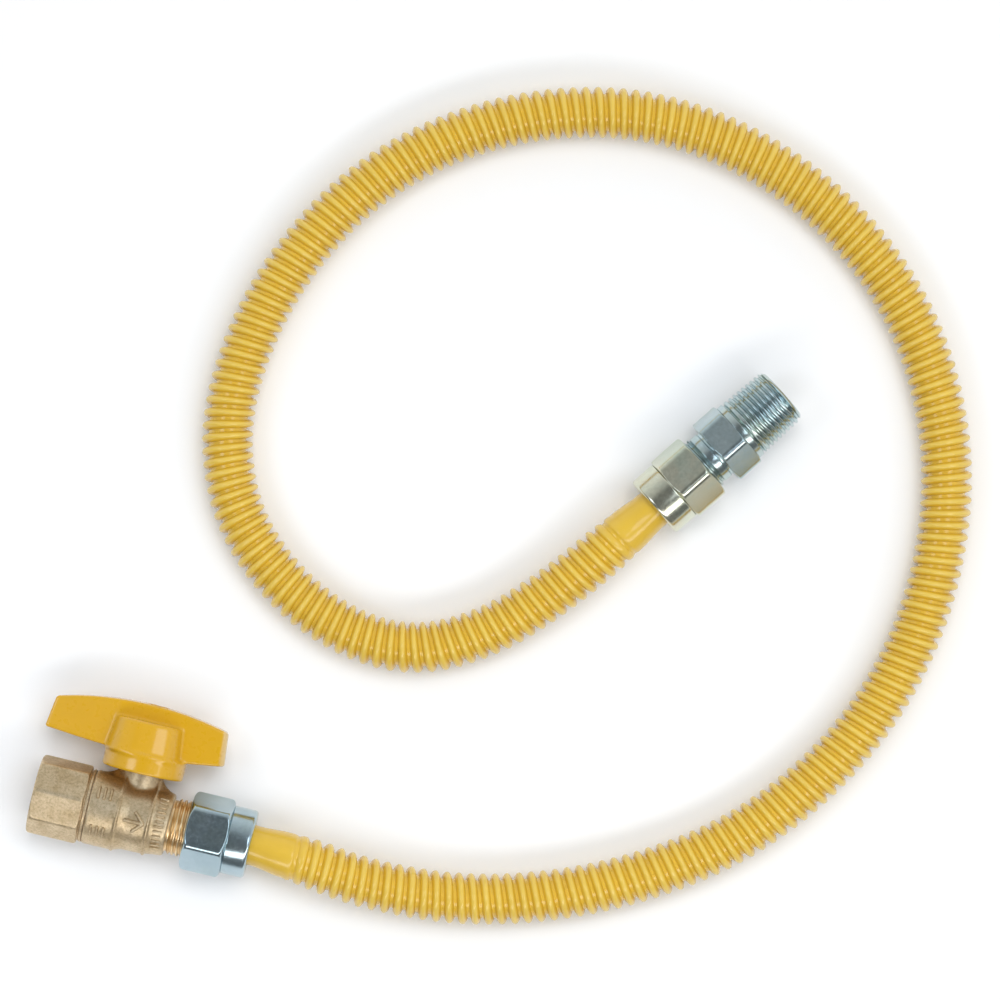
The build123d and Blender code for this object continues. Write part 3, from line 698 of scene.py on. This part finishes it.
def make_inlet_socket():
    """Eight-sided cast socket with a tapered pipe thread inside."""
    corner = 13.6
    solid = Turned((0, 0, 0), X_AXIS, INLET_TURN)
    solid.plain([(0.2, 10.65)], 1)
    solid.plain(soften([(0.2, 10.65), (-0.5, 11.0), (-0.5, 11.5), (-0.4, 11.9)], 0.2), 1)
    front = arc((-0.45, 11.9), (1.1, corner), 9)
    back = arc((15.4, corner), (16.6, 12.3), 9, "axis")
    middle = [(1.2, 14.5), (8.0, 14.5), (15.3, 14.5)]
    solid.facets(front + middle + back, OCTAGON_FLATS, 8, corner=0.7, edge=0.35)
    neck = [(16.6, 12.3), (16.7, 11.9), (17.0, 11.8), (17.3, 12.3), (18.0, 12.3), (18.17, 12.15)]
    # a lip over the thin seal
    neck += [(18.17, 11.65), (17.8, 11.65), (17.8, 10.3)]
    solid.plain(soften(neck, 0.12))
    nose = [(17.8, 10.3), (24.0, 10.3), (24.3, 10.0), (24.3, 5.9), (24.0, 5.6), (15.9, 5.6)]
    solid.plain(soften(nose, 0.15), 1)
    solid.plain(soften([(15.9, 5.6), (13.9, 8.3), (13.4, 8.8)], 0.2), 1)
    solid.thread(13.3, 0.7, NPT_PITCH, 8.76, 9.95, NPT_TAPER, run_in=0.6, slot=1)
    piece = mesh_piece("inlet_socket", [solid.shell()], [CAST_BRASS, CUT_BRASS])
    return finish_piece(piece, "valve", "brass", "inlet_end")


def flare_rows(solid, slot):
    """Add the cone nose of a male flare end, from the last thread to the port."""
    nose = [(9.6, 8.65), (9.7, 8.4), (10.1, 8.4), (12.7, 5.8), (12.9, 5.4), (12.9, PORT_RADIUS)]
    solid.plain(soften(nose, 0.12), slot)


def flare_nut_shell(place, flats, hex_length, length, sleeve_radius, chamfer, blend):
    """Hexagonal flare nut with a smooth round sleeve, threaded and coned inside.

    place is its mouth, its direction and its turn; blend is the width of the smooth blend
    along the hexagon's edges.
    """
    corner = flats / 2 / cos(pi / 6) + 0.05
    rim = flats / 2 - 0.6
    solid = Turned(*place)
    solid.plain(soften([(0.5, 10.2), (0.05, 10.45), (0.0, 10.7), (0.0, rim)], 0.2))
    front = arc((0.0, rim), (chamfer, corner), 12)
    back = arc((hex_length - chamfer, corner), (hex_length - 0.05, rim), 12, "axis")
    middle = np.linspace(chamfer + 0.1, hex_length - chamfer - 0.1, 3)
    middle = [(t, corner + 1) for t in middle]
    solid.facets(front + middle + back, flats, 6, corner=blend, edge=0.25)
    sleeve = [
        (hex_length - 0.05, rim, 0.1),
        (hex_length, sleeve_radius - 0.15, 0.15),
        (hex_length + 0.3, sleeve_radius, 0.2),
        (length, sleeve_radius, 1.3),
        (length, 8.1, 0.2),
        (length - 0.5, 7.5, 0.2),
        (16.0, 7.5, 0.2),
        (15.0, 6.45, 0.2),
        (SEAT_SUM - 6.45, 6.45, 0.2),
        (SEAT_SUM - 9.6, 9.6, 0.1),
        (9.45, 9.7, 0.1),
    ]
    solid.plain(soften(sleeve, steps=6))
    solid.thread(9.4, 0.55, FLARE_PITCH, NUT_THREAD_CREST, NUT_THREAD_ROOT)
    return solid.shell()


def make_valve_nut():
    """Bluish nut between the valve and the hose."""
    place = ((VALVE_NUT_X * MM, 0, 0), X_AXIS, VALVE_NUT_TURN)
    shell = flare_nut_shell(place, VALVE_NUT_FLATS, 14.0, 22.0, 11.5, chamfer=2.8, blend=1.6)
    piece = mesh_piece("valve_flare_nut", [shell], [ZINC_BLUE])
    return finish_piece(piece, "valve_side_nut", "zinc_blue", "valve_nut")


def make_adapter_nut():
    """Yellowish nut between the hose and the adapter."""
    place = (FAR_MOUTH, FAR_BACK, FAR_TURN)
    shell = flare_nut_shell(place, FAR_FLATS, 12.7, NUT_LENGTH, 11.2, chamfer=2.1, blend=1.8)
    piece = mesh_piece("adapter_flare_nut", [shell], [ZINC_YELLOW])
    return finish_piece(piece, "adapter_side_nut", "zinc_yellow", "adapter_nut")


def make_adapter():
    """Adapter: flare end, hexagon, shoulder and a tapered male pipe end."""
    corner = 12.87
    solid = Turned(FAR_MOUTH, FAR_BACK, FAR_TURN)
    nose = [(-35.2, 5.75), (-35.6, 6.1), (-35.6, 8.9), (-35.1, 9.6, 0.5), (-34.6, 9.95)]
    solid.plain(soften(nose, 0.2))
    solid.thread(-34.6, -18.9, NPT_PITCH, 10.36, 9.4, NPT_TAPER, run_in=0.9, run_out=1.2)
    groove = [(-18.9, 10.85), (-18.6, 10.3), (-18.4, 9.9), (-18.2, 9.9), (-18.0, 10.6)]
    solid.plain(soften(groove, 0.15))
    shoulder = [(-18.0, 10.6), (-17.9, 10.9, 0.2), (-15.85, 10.9, 0.1), (-15.8, 10.4, 0.1)]
    solid.plain(soften(shoulder, 0.15))
    front = arc((-15.8, 10.6), (-14.5, corner), 9)
    back = arc((-7.2, corner), (-5.9, 10.6), 9, "axis")
    middle = [(-14.4, 13.5), (-10.8, 13.5), (-7.3, 13.5)]
    solid.facets(front + middle + back, FAR_FLATS, 6, corner=1.7, edge=0.2)
    # a smooth relief between the hexagon and the thread
    relief = [(-5.9, 10.6), (-5.9, 8.95), (-5.7, 8.8), (-5.1, 8.8)]
    relief += [(-4.9, 9.1), (-2.3, 9.1), (-2.1, 8.8)]
    solid.plain(soften(relief, 0.15))
    solid.thread(-2.1, 9.5, FLARE_PITCH, FLARE_CREST, FLARE_ROOT, run_in=0.6)
    flare_rows(solid, 0)
    bore = [(12.9, PORT_RADIUS), (-2.0, PORT_RADIUS), (-3.0, 5.75), (-35.0, 5.75)]
    solid.plain(soften(bore, 0.2))
    piece = mesh_piece("pipe_adapter", [solid.shell()], [ZINC_GREY])
    return finish_piece(piece, "valve", "zinc_blue", "flare_adapter")


def make_flared_neck(name, origin, along):
    """Thin flared steel neck of the liner between a fitting's cone and its nut's seat."""
    solid = Turned(origin, along, columns=96)
    outline = [
        (10.3, 8.2, 0.1),
        (10.68, 8.5, 0.1),
        (12.75, 6.4, 0.5),
        (21.0, 6.4, 0.1),
        (21.0, 5.9, 0.1),
        (12.6, 5.9, 0.5),
        (10.3, 8.2, 0.1),
    ]
    solid.plain(soften(outline))
    piece = mesh_piece(name, [solid.shell()], [STAINLESS])
    return finish_piece(piece, "valve", "stainless", "hose_liner")


# ---------------------------------------------------------------- valve body

BODY_START, BODY_END = 18.2, 45.7
# (x, r) along the body: barrel, cast ridge, waist, second ridge and tapered collar
BODY_OUTLINE = np.array(
    [
        (BODY_START, 12.4),
        (19.4, 12.5),
        (27.9, 12.5),
        (28.2, 12.8),
        (28.5, 12.95),
        (28.8, 12.8),
        (29.1, 12.35),
        (31.2, 11.65),
        (32.0, 11.5),
        (38.5, 11.4),
        (38.8, 11.75),
        (39.1, 11.9),
        (39.4, 11.75),
        (39.8, 11.2),
        (40.4, 11.0),
        (BODY_END, 10.35),
    ]
)
BOSS_RADIUS = 6.3
BOSS_LOW, BOSS_HIGH = 5.0, 19.5
STOP_ANGLE = radians(45.0)
STOP_HALF = radians(30.0)
STOP_RADIUS = 8.8
STOP_LOW, STOP_HIGH = 16.2, 19.1
CAST_EDGE = 0.9  # rounding of the forging's edges
BORE_EDGE = 0.2
CAST_CELL = 0.34
ARROW_ANGLE = -5  # degrees from straight up
BAR_SINK = 0.03  # how far a raised bar's sides are sunk into the body
BAR_FOOT = 0.35  # and how far its foot lies below them
BAR_END_REACH = 0.3  # of its width: how far its rounded ends reach
BAR_END_SIZE = 0.6


def wedge(x, z, middle, half):
    """Distance to a wedge about the stem, its angle measured from +X towards -Z."""
    across, along = x - STEM_X, -z
    first = sin(middle - half) * across - cos(middle - half) * along
    second = cos(middle + half) * along - sin(middle + half) * across
    return np.maximum(first, second)


def body_distance(x, y, z):
    """Forged body with its stem boss and stop, its ball cavity and its bores."""
    radius = np.hypot(y, z)
    from_stem = np.hypot(x - STEM_X, z)
    barrel = radius - np.interp(x, *BODY_OUTLINE.T)
    barrel = smooth_max(barrel, np.maximum(BODY_START - x, x - BODY_END), CAST_EDGE)
    boss_ends = np.maximum(BOSS_LOW - y, y - BOSS_HIGH)
    boss = smooth_max(from_stem - BOSS_RADIUS, boss_ends, CAST_EDGE)
    # the boss's root is wide along the pipe and tight across it
    root = CAST_EDGE + 6.5 * np.exp(-((z / 3.2) ** 2))
    solid = smooth_min(barrel, boss, root)
    stop = smooth_max(wedge(x, z, STOP_ANGLE, STOP_HALF), from_stem - STOP_RADIUS, 0.5)
    stop = smooth_max(stop, np.maximum(STOP_LOW - y, y - STOP_HIGH), 0.5)
    solid = smooth_min(solid, stop, 0.6)
    # socket for the end piece, ball cavity, outlet port and the stem's two bores
    hollows = [
        bar(x, radius, 17.0, 24.4, 10.32, BORE_EDGE),
        bar(x, radius, 24.2, 41.6, 9.4, BORE_EDGE),
        bar(x, radius, 41.0, 47.0, PORT_RADIUS, BORE_EDGE),
        bar(y, from_stem, 0.0, 11.0, 4.8, BORE_EDGE),
        bar(y, from_stem, 0.0, 21.0, 3.6, BORE_EDGE),
    ]
    return np.maximum(solid, -np.minimum.reduce(hollows))


def raised_bar(path, width, height):
    """Half-round raised bar along (x, degrees from straight up) points on the body."""
    x, angle = np.array(path).T
    angle = np.radians(angle)
    radius = np.interp(x, *BODY_OUTLINE.T) - BAR_SINK
    out = np.stack([np.zeros_like(x), np.sin(angle), np.cos(angle)], axis=-1)
    centre = np.stack([x, radius * np.sin(angle), radius * np.cos(angle)], axis=-1)
    along = np.gradient(centre, axis=0)
    along /= np.linalg.norm(along, axis=1, keepdims=True)
    beside = np.cross(along, out)
    # round the ends off with smaller, further sections
    first = centre[:1] - BAR_END_REACH * width * along[:1]
    last = centre[-1:] + BAR_END_REACH * width * along[-1:]
    centre = np.vstack([first, centre, last])
    out, beside = (np.vstack([v[:1], v, v[-1:]]) for v in (out, beside))
    size = np.ones(len(centre))
    size[[0, -1]] = BAR_END_SIZE
    sweep = np.linspace(0, pi, 9)
    loop = np.stack([np.cos(sweep) * width / 2, np.sin(sweep) * height], axis=-1)
    loop = np.vstack([loop, [(-width / 2, -BAR_FOOT), (width / 2, -BAR_FOOT)]])
    rows = centre[:, None] + size[:, None, None] * (
        loop[None, :, :1] * beside[:, None] + loop[None, :, 1:] * out[:, None]
    )
    return swept_shell(rows * MM)


def straight_path(start, end, steps=10):
    """Evenly spaced points between two (x, degrees) points."""
    return np.linspace(start, end, steps + 1)


def make_valve_body():
    """Cast body with plain raised marks, and its machined flare end."""
    casting = surface_of(body_distance, (17.7, -13.4, -13.4), (46.3, 20.1, 13.4), CAST_CELL)
    flare = Turned((VALVE_NUT_X * MM, 0, 0), X_AXIS, columns=192)
    relief = [(-6.7, PORT_RADIUS), (-6.7, 8.9), (-5.9, 8.9), (-5.7, 8.6), (-5.3, 8.6)]
    flare.plain(soften(relief, 0.1), 1)
    flare.thread(-5.3, 9.5, FLARE_PITCH, FLARE_CREST, FLARE_ROOT, run_in=0.9, slot=1)
    flare_rows(flare, 1)
    flare.plain([(12.9, PORT_RADIUS), (3.0, PORT_RADIUS), (-6.7, PORT_RADIUS)], 1)
    shells = [casting, flare.shell()]
    # a plain arrow that shows the way to the outlet
    arrow = [((31.2, ARROW_ANGLE), (37.0, ARROW_ANGLE))]
    arrow += [((34.4, ARROW_ANGLE + side), (37.4, ARROW_ANGLE)) for side in (-16, 16)]
    for start, end in arrow:
        shells.append(raised_bar(straight_path(start, end), 1.3, 0.85))
    # two groups of plain bars on the barrel, and a row round the collar
    for x in (20.9, 23.0, 25.1):
        for low, high in ((20, 37), (-42, -25)):
            shells.append(raised_bar(straight_path((x, low), (x, high)), 1.1, 0.9))
    for angle in range(-49, 56, 9):
        shells.append(raised_bar(straight_path((41.4, angle), (43.9, angle), 4), 0.85, 0.6))
    piece = mesh_piece("valve_casting", shells, [CAST_BRASS, CUT_BRASS])
    return finish_piece(piece, "valve", "brass", "valve_body")


# ---------------------------------------------------------------- handle and its screw

WING_PLAN = np.array([(-3.0, 2.4), (21.0, 4.5), (45.0, 4.5), (56.8, 3.7), (59.6, 0.5)])
WING_LOW_LEFT, WING_HIGH_LEFT = (-2.3, 22.7), (-0.8, 33.3)
WING_LOW_RIGHT, WING_HIGH_RIGHT = (58.9, 23.2), (57.8, 34.3)
HUB_X = 31.6
HUB_LOW, HUB_HIGH = 21.0, 32.2
HUB_REACH_X, HUB_REACH_Z = 12.5, 12.8  # half its length and depth at its foot
HUB_TAPER_X, HUB_TAPER_Z = 1.2, 2.1
FACET_TILT = radians(13.0)
FACET_START = 3.3
SKIRT_X = 32.7
SKIRT_RADIUS, SKIRT_STRETCH = 13.35, 1.03
SKIRT_LOW, SKIRT_HIGH = 15.0, 21.6
POCKET_RADIUS = 11.4
NOTCH_LOW, NOTCH_HIGH = 15.7, 20.3
NOTCH_ANGLE, NOTCH_HALF = radians(90.0), radians(76.0)
SQUARE_HALF = 2.55
# widths of the rounded edges, and of the fillets where the wings and the skirt meet the hub
WING_EDGE, WING_FACE_EDGE = 0.9, 0.8
HUB_EDGE, FACET_EDGE = 1.1, 0.4
SKIRT_LOW_EDGE, SKIRT_HIGH_EDGE = 0.8, 1.2
WING_FILLET, SKIRT_FILLET = 0.9, 1.2
HANDLE_CELL = 0.36
TIP_HIGHLIGHT = (-2.0, -1.0)  # from where to where the painted highlight grows to full strength, inside the tip
WASHER_LOW = 33.0
HEAD_RADIUS, HEAD_LOW = 3.45, 33.8
DOME_MIDDLE, DOME_RADIUS = 26.0, 10.2
RECESS_LOW = 34.7
SCREW_CELL = 0.11


def circle_through(a, b, c):
    """Centre and radius of the circle through three points."""
    (ax, ay), (bx, by), (cx, cy) = a, b, c
    turn = 2 * (ax * (by - cy) + bx * (cy - ay) + cx * (ay - by))
    squares = [x * x + y * y for x, y in (a, b, c)]
    middle_x = (squares[0] * (by - cy) + squares[1] * (cy - ay) + squares[2] * (ay - by)) / turn
    middle_y = (squares[0] * (cx - bx) + squares[1] * (ax - cx) + squares[2] * (bx - ax)) / turn
    return middle_x, middle_y, np.hypot(ax - middle_x, ay - middle_y)


CROWN = circle_through((-1.0, 33.3), (29.0, 37.8), (57.8, 34.4))


def beyond(x, y, start, end):
    """Distance to the right of the line from start to end."""
    run_x, run_y = end[0] - start[0], end[1] - start[1]
    return ((x - start[0]) * run_y - (y - start[1]) * run_x) / np.hypot(run_x, run_y)


def handle_distance(x, y, z):
    """Two uneven wings on a tapered hub over a round skirt, hollow for the boss and stop."""
    from_stem = np.hypot(x - STEM_X, z)
    sides = [
        beyond(x, y, WING_HIGH_LEFT, WING_LOW_LEFT),
        beyond(x, y, WING_LOW_LEFT, (19.0, HUB_LOW)),
        HUB_LOW - y,
        beyond(x, y, (44.0, HUB_LOW), WING_LOW_RIGHT),
        beyond(x, y, WING_LOW_RIGHT, WING_HIGH_RIGHT),
    ]
    wing = np.hypot(x - CROWN[0], y - CROWN[1]) - CROWN[2]
    for side in sides:
        wing = smooth_max(wing, side, WING_EDGE)
    wing = smooth_max(wing, np.abs(z) - np.interp(x, *WING_PLAN.T), WING_FACE_EDGE)
    rise = np.clip((y - HUB_LOW) / (HUB_HIGH - HUB_LOW), 0, 1)
    corner = 9.0 - rise
    reach_x = np.abs(x - HUB_X) - (HUB_REACH_X - HUB_TAPER_X * rise) + corner
    reach_z = np.abs(z) - (HUB_REACH_Z - HUB_TAPER_Z * rise) + corner
    outside = np.hypot(np.maximum(reach_x, 0), np.maximum(reach_z, 0))
    hub = outside + np.minimum(np.maximum(reach_x, reach_z), 0) - corner
    # flat facets either side of the middle of its front and back
    facet = (np.abs(x - HUB_X) - FACET_START) * sin(FACET_TILT)
    facet = facet + (np.abs(z) - HUB_REACH_Z + HUB_TAPER_Z * rise) * cos(FACET_TILT)
    hub = smooth_max(hub, facet, FACET_EDGE)
    hub = smooth_max(hub, np.maximum(HUB_LOW - 0.5 - y, y - HUB_HIGH), HUB_EDGE)
    skirt = np.hypot((x - SKIRT_X) / SKIRT_STRETCH, z) - SKIRT_RADIUS
    skirt = smooth_max(skirt, SKIRT_LOW - y, SKIRT_LOW_EDGE)
    skirt = smooth_max(skirt, y - SKIRT_HIGH, SKIRT_HIGH_EDGE)
    solid = smooth_min(smooth_min(wing, hub, WING_FILLET), skirt, SKIRT_FILLET)
    notch = np.maximum(wedge(x, z, NOTCH_ANGLE, NOTCH_HALF), from_stem - POCKET_RADIUS)
    square = np.maximum(np.abs(x - STEM_X), np.abs(z)) - SQUARE_HALF
    # pocket and hole over the boss, notch for the stop, then the holes for the stem and screw
    hollows = [
        bar(y, from_stem, 13.0, 16.7, POCKET_RADIUS, 0.4),
        bar(y, from_stem, 13.0, NOTCH_HIGH, 6.8, 0.4),
        np.maximum(notch, np.maximum(NOTCH_LOW - y, y - NOTCH_HIGH)),
        bar(y, from_stem, 20.0, 21.05, 3.7, 0.1),
        np.maximum(square, np.maximum(20.9 - y, y - 30.0)),
        bar(y, from_stem, 29.0, 34.0, 2.2, 0.1),
        bar(y, from_stem, 33.0, 40.0, 3.7, 0.1),
    ]
    return np.maximum(solid, -np.minimum.reduce(hollows))


def screw_head_distance(x, y, z):
    """Low domed head with a cross recess that widens upwards."""
    across, along = np.abs(x - STEM_X), np.abs(z)
    from_axis = np.hypot(across, along)
    dome = np.hypot(from_axis, y - DOME_MIDDLE) - DOME_RADIUS
    head = smooth_max(from_axis - HEAD_RADIUS, dome, 0.9)
    head = smooth_max(head, HEAD_LOW - y, 0.2)
    widening = np.clip((y - 34.9) * 0.55, 0, 1)
    arms = np.minimum(across, along) - 0.28 - widening * 0.45
    reach = np.maximum(across, along) - 0.7 - widening * 2.0
    recess = np.maximum(np.maximum(arms, reach), RECESS_LOW - y)
    return smooth_max(head, -recess, 0.12)


def make_handle():
    """Enamelled handle over the stem."""
    solid = surface_of(handle_distance, (-2.9, 14.4, -14.0), (60.0, 38.5, 14.0), HANDLE_CELL)
    # the bevel at the short wing's tip gets a painted highlight, a paler strip
    x, y, _ = solid[0].T / MM
    tip_highlight_share = ease(beyond(x, y, WING_LOW_RIGHT, WING_HIGH_RIGHT), *TIP_HIGHLIGHT)
    piece = mesh_piece("winged_handle", [solid], [ENAMEL], radians(55), ("tip_highlight_share", tip_highlight_share))
    return finish_piece(piece, "handle_assembly", "handle_yellow", "handle")


def make_screw():
    """Cross-recessed screw down the stem."""
    head = surface_of(screw_head_distance, (29.2, 33.4, -3.8), (36.8, 36.7, 3.8), SCREW_CELL)
    shank = Turned((STEM_X * MM, 0, 0), (0.0, 1.0, 0.0), columns=72)
    shank.plain([(23.3, 0.0), (23.3, 1.2), (23.8, 1.6)])
    shank.thread(23.8, 33.2, 0.8, 1.95, 1.6, run_in=0.8)
    shank.plain([(33.9, 1.6), (33.9, 0.0)])
    piece = mesh_piece("cross_screw", [head, shank.shell()], [STEEL], radians(35))
    return finish_piece(piece, "handle_assembly", "zinc_steel", "handle_screw")


def make_lock_washer():
    """Split spring washer of rectangular section."""
    angle = np.radians(np.linspace(18, 336, 72))
    lower = [(2.15, 0.06), (2.3, 0.0), (3.3, 0.0), (3.43, 0.1)]
    upper = [(3.43, 0.7), (3.3, 0.8), (2.3, 0.8), (2.15, 0.74)]
    section = np.array(lower + upper)
    swing = np.stack([np.cos(angle), np.zeros_like(angle), np.sin(angle)], axis=-1)
    rows = section[None, :, :1] * swing[:, None]
    rows[..., 0] += STEM_X
    rows[..., 1] += WASHER_LOW + section[None, :, 1]
    piece = mesh_piece("split_washer", [swept_shell(rows * MM)], [STEEL], radians(35))
    return finish_piece(piece, "handle_assembly", "zinc_steel", "lock_washer")


make_inlet_socket()
make_valve_body()
make_valve_nut()
adapter_nut = make_adapter_nut()
adapter = make_adapter()
make_flared_neck("valve_side_flare", (VALVE_NUT_X * MM, 0, 0), X_AXIS)
far_flare = make_flared_neck("adapter_side_flare", FAR_MOUTH, FAR_BACK)
make_handle()
make_screw()
make_lock_washer()


# ---------------------------------------------------------------- stage

COOL = (0.87, 0.98, 1.13)
WARM = (1.02, 1.0, 0.98)
FLOOR_HALF = 3.0
LOOP_MIDDLE = (0.13, 0.12, 0.0)
# grey levels of the surround from the horizon to the zenith
BACK_GREYS = [(0.0, 0.95), (0.35, 0.85), (0.80, 0.5), (0.95, 0.17)]
FRONT_GREYS = [(0.0, 0.95), (0.10, 0.16), (0.55, 0.2), (0.93, 0.17)]
GREY_TINT = (0.96, 1.0, 1.03)
FRONT_END, BACK_END = -0.35, 0.15  # along Y, where the front greys have turned into the back's


def area_light(name, place, target, size, watts, colour=(1.0, 1.0, 1.0)):
    """Rectangular softbox aimed at a point."""
    data = bpy.data.lights.new(name, "AREA")
    data.shape = "RECTANGLE"
    data.size, data.size_y = size
    data.energy = watts
    data.color = colour
    light = bpy.data.objects.new(name, data)
    light.location = place
    aim = Vector(target) - Vector(place)
    light.rotation_euler = aim.to_track_quat("-Z", "Y").to_euler()
    bpy.context.scene.collection.objects.link(light)
    return light


def add_floor():
    """Large pale sheet at the lowest level of the CAD model."""
    half, low = FLOOR_HALF, cad_box[0].z
    corners = [(-half, -half, low), (half, -half, low), (half, half, low), (-half, half, low)]
    mesh = bpy.data.meshes.new("floor")
    mesh.from_pydata(corners, [], [(0, 1, 2, 3)])
    paint = Paint("floor_card", Roughness=0.8)
    paint.colour(paint.ramp(paint.noise(6, 2), [(0.3, 0.93), (0.7, 0.95)]))
    mesh.materials.append(paint.material)
    floor = bpy.data.objects.new("floor", mesh)
    bpy.context.scene.collection.objects.link(floor)


def add_lights():
    """Softboxes whose reflections give the metal its highlights, and a soft fill."""
    area_light("left_softbox", (-0.64, -0.05, 1.1), LOOP_MIDDLE, (0.45, 0.5), 2.2, COOL)
    area_light("right_softbox", (0.615, 0.36, 1.3), LOOP_MIDDLE, (0.62, 0.52), 2.7, COOL)
    area_light("low_softbox", (0.51, -0.69, 1.06), (0.0, 0.145, 0.0), (2.0, 0.40), 9.0)
    fill = area_light("top_softbox", (0.13, 0.75, 2.1), LOOP_MIDDLE, (1.0, 1.0), 16.0, WARM)
    fill.visible_glossy = False


def add_surround():
    """Grey surround, pale at the horizon and behind the valve, dark overhead and in front."""
    world = bpy.data.worlds.new("surround")
    world.use_nodes = True
    tree = world.node_tree
    toward = tree.nodes.new("ShaderNodeTexCoord")
    split = tree.nodes.new("ShaderNodeSeparateXYZ")
    tree.links.new(toward.outputs["Generated"], split.inputs["Vector"])
    side = tree.nodes.new("ShaderNodeMapRange")
    side.inputs["From Min"].default_value = FRONT_END
    side.inputs["From Max"].default_value = BACK_END
    tree.links.new(split.outputs["Y"], side.inputs["Value"])
    mix = tree.nodes.new("ShaderNodeMix")
    mix.data_type = "RGBA"
    tree.links.new(side.outputs["Result"], mix.inputs[MIX_INPUTS[0]])
    for greys, number in zip((FRONT_GREYS, BACK_GREYS), MIX_INPUTS[1:]):
        ramp = tree.nodes.new("ShaderNodeValToRGB")
        stops = [(place, tuple(part * grey for part in GREY_TINT)) for place, grey in greys]
        fill_ramp(ramp, stops)
        tree.links.new(split.outputs["Z"], ramp.inputs["Fac"])
        tree.links.new(ramp.outputs["Color"], mix.inputs[number])
    background = tree.nodes["Background"]
    background.inputs["Strength"].default_value = 1.0
    tree.links.new(mix.outputs[MIX_OUTPUT], background.inputs["Color"])
    bpy.context.scene.world = world
    bpy.context.scene.view_settings.view_transform = "Standard"


add_floor()
add_lights()
add_surround()


# ---------------------------------------------------------------- carried-over CAD nodes

NODE_MATERIALS = {
    "end_seal": WHITE_SEAL,
    "inlet_seat": WHITE_SEAL,
    "outlet_seat": WHITE_SEAL,
    "thrust_washer": WHITE_SEAL,
    "stem_o_ring_lower": BLACK_SEAL,
    "stem_o_ring_upper": BLACK_SEAL,
    "ball": CHROME,
    "stem": CUT_BRASS,
}
for node, finish in NODE_MATERIALS.items():
    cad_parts[node].data.materials.clear()
    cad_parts[node].data.materials.append(finish)
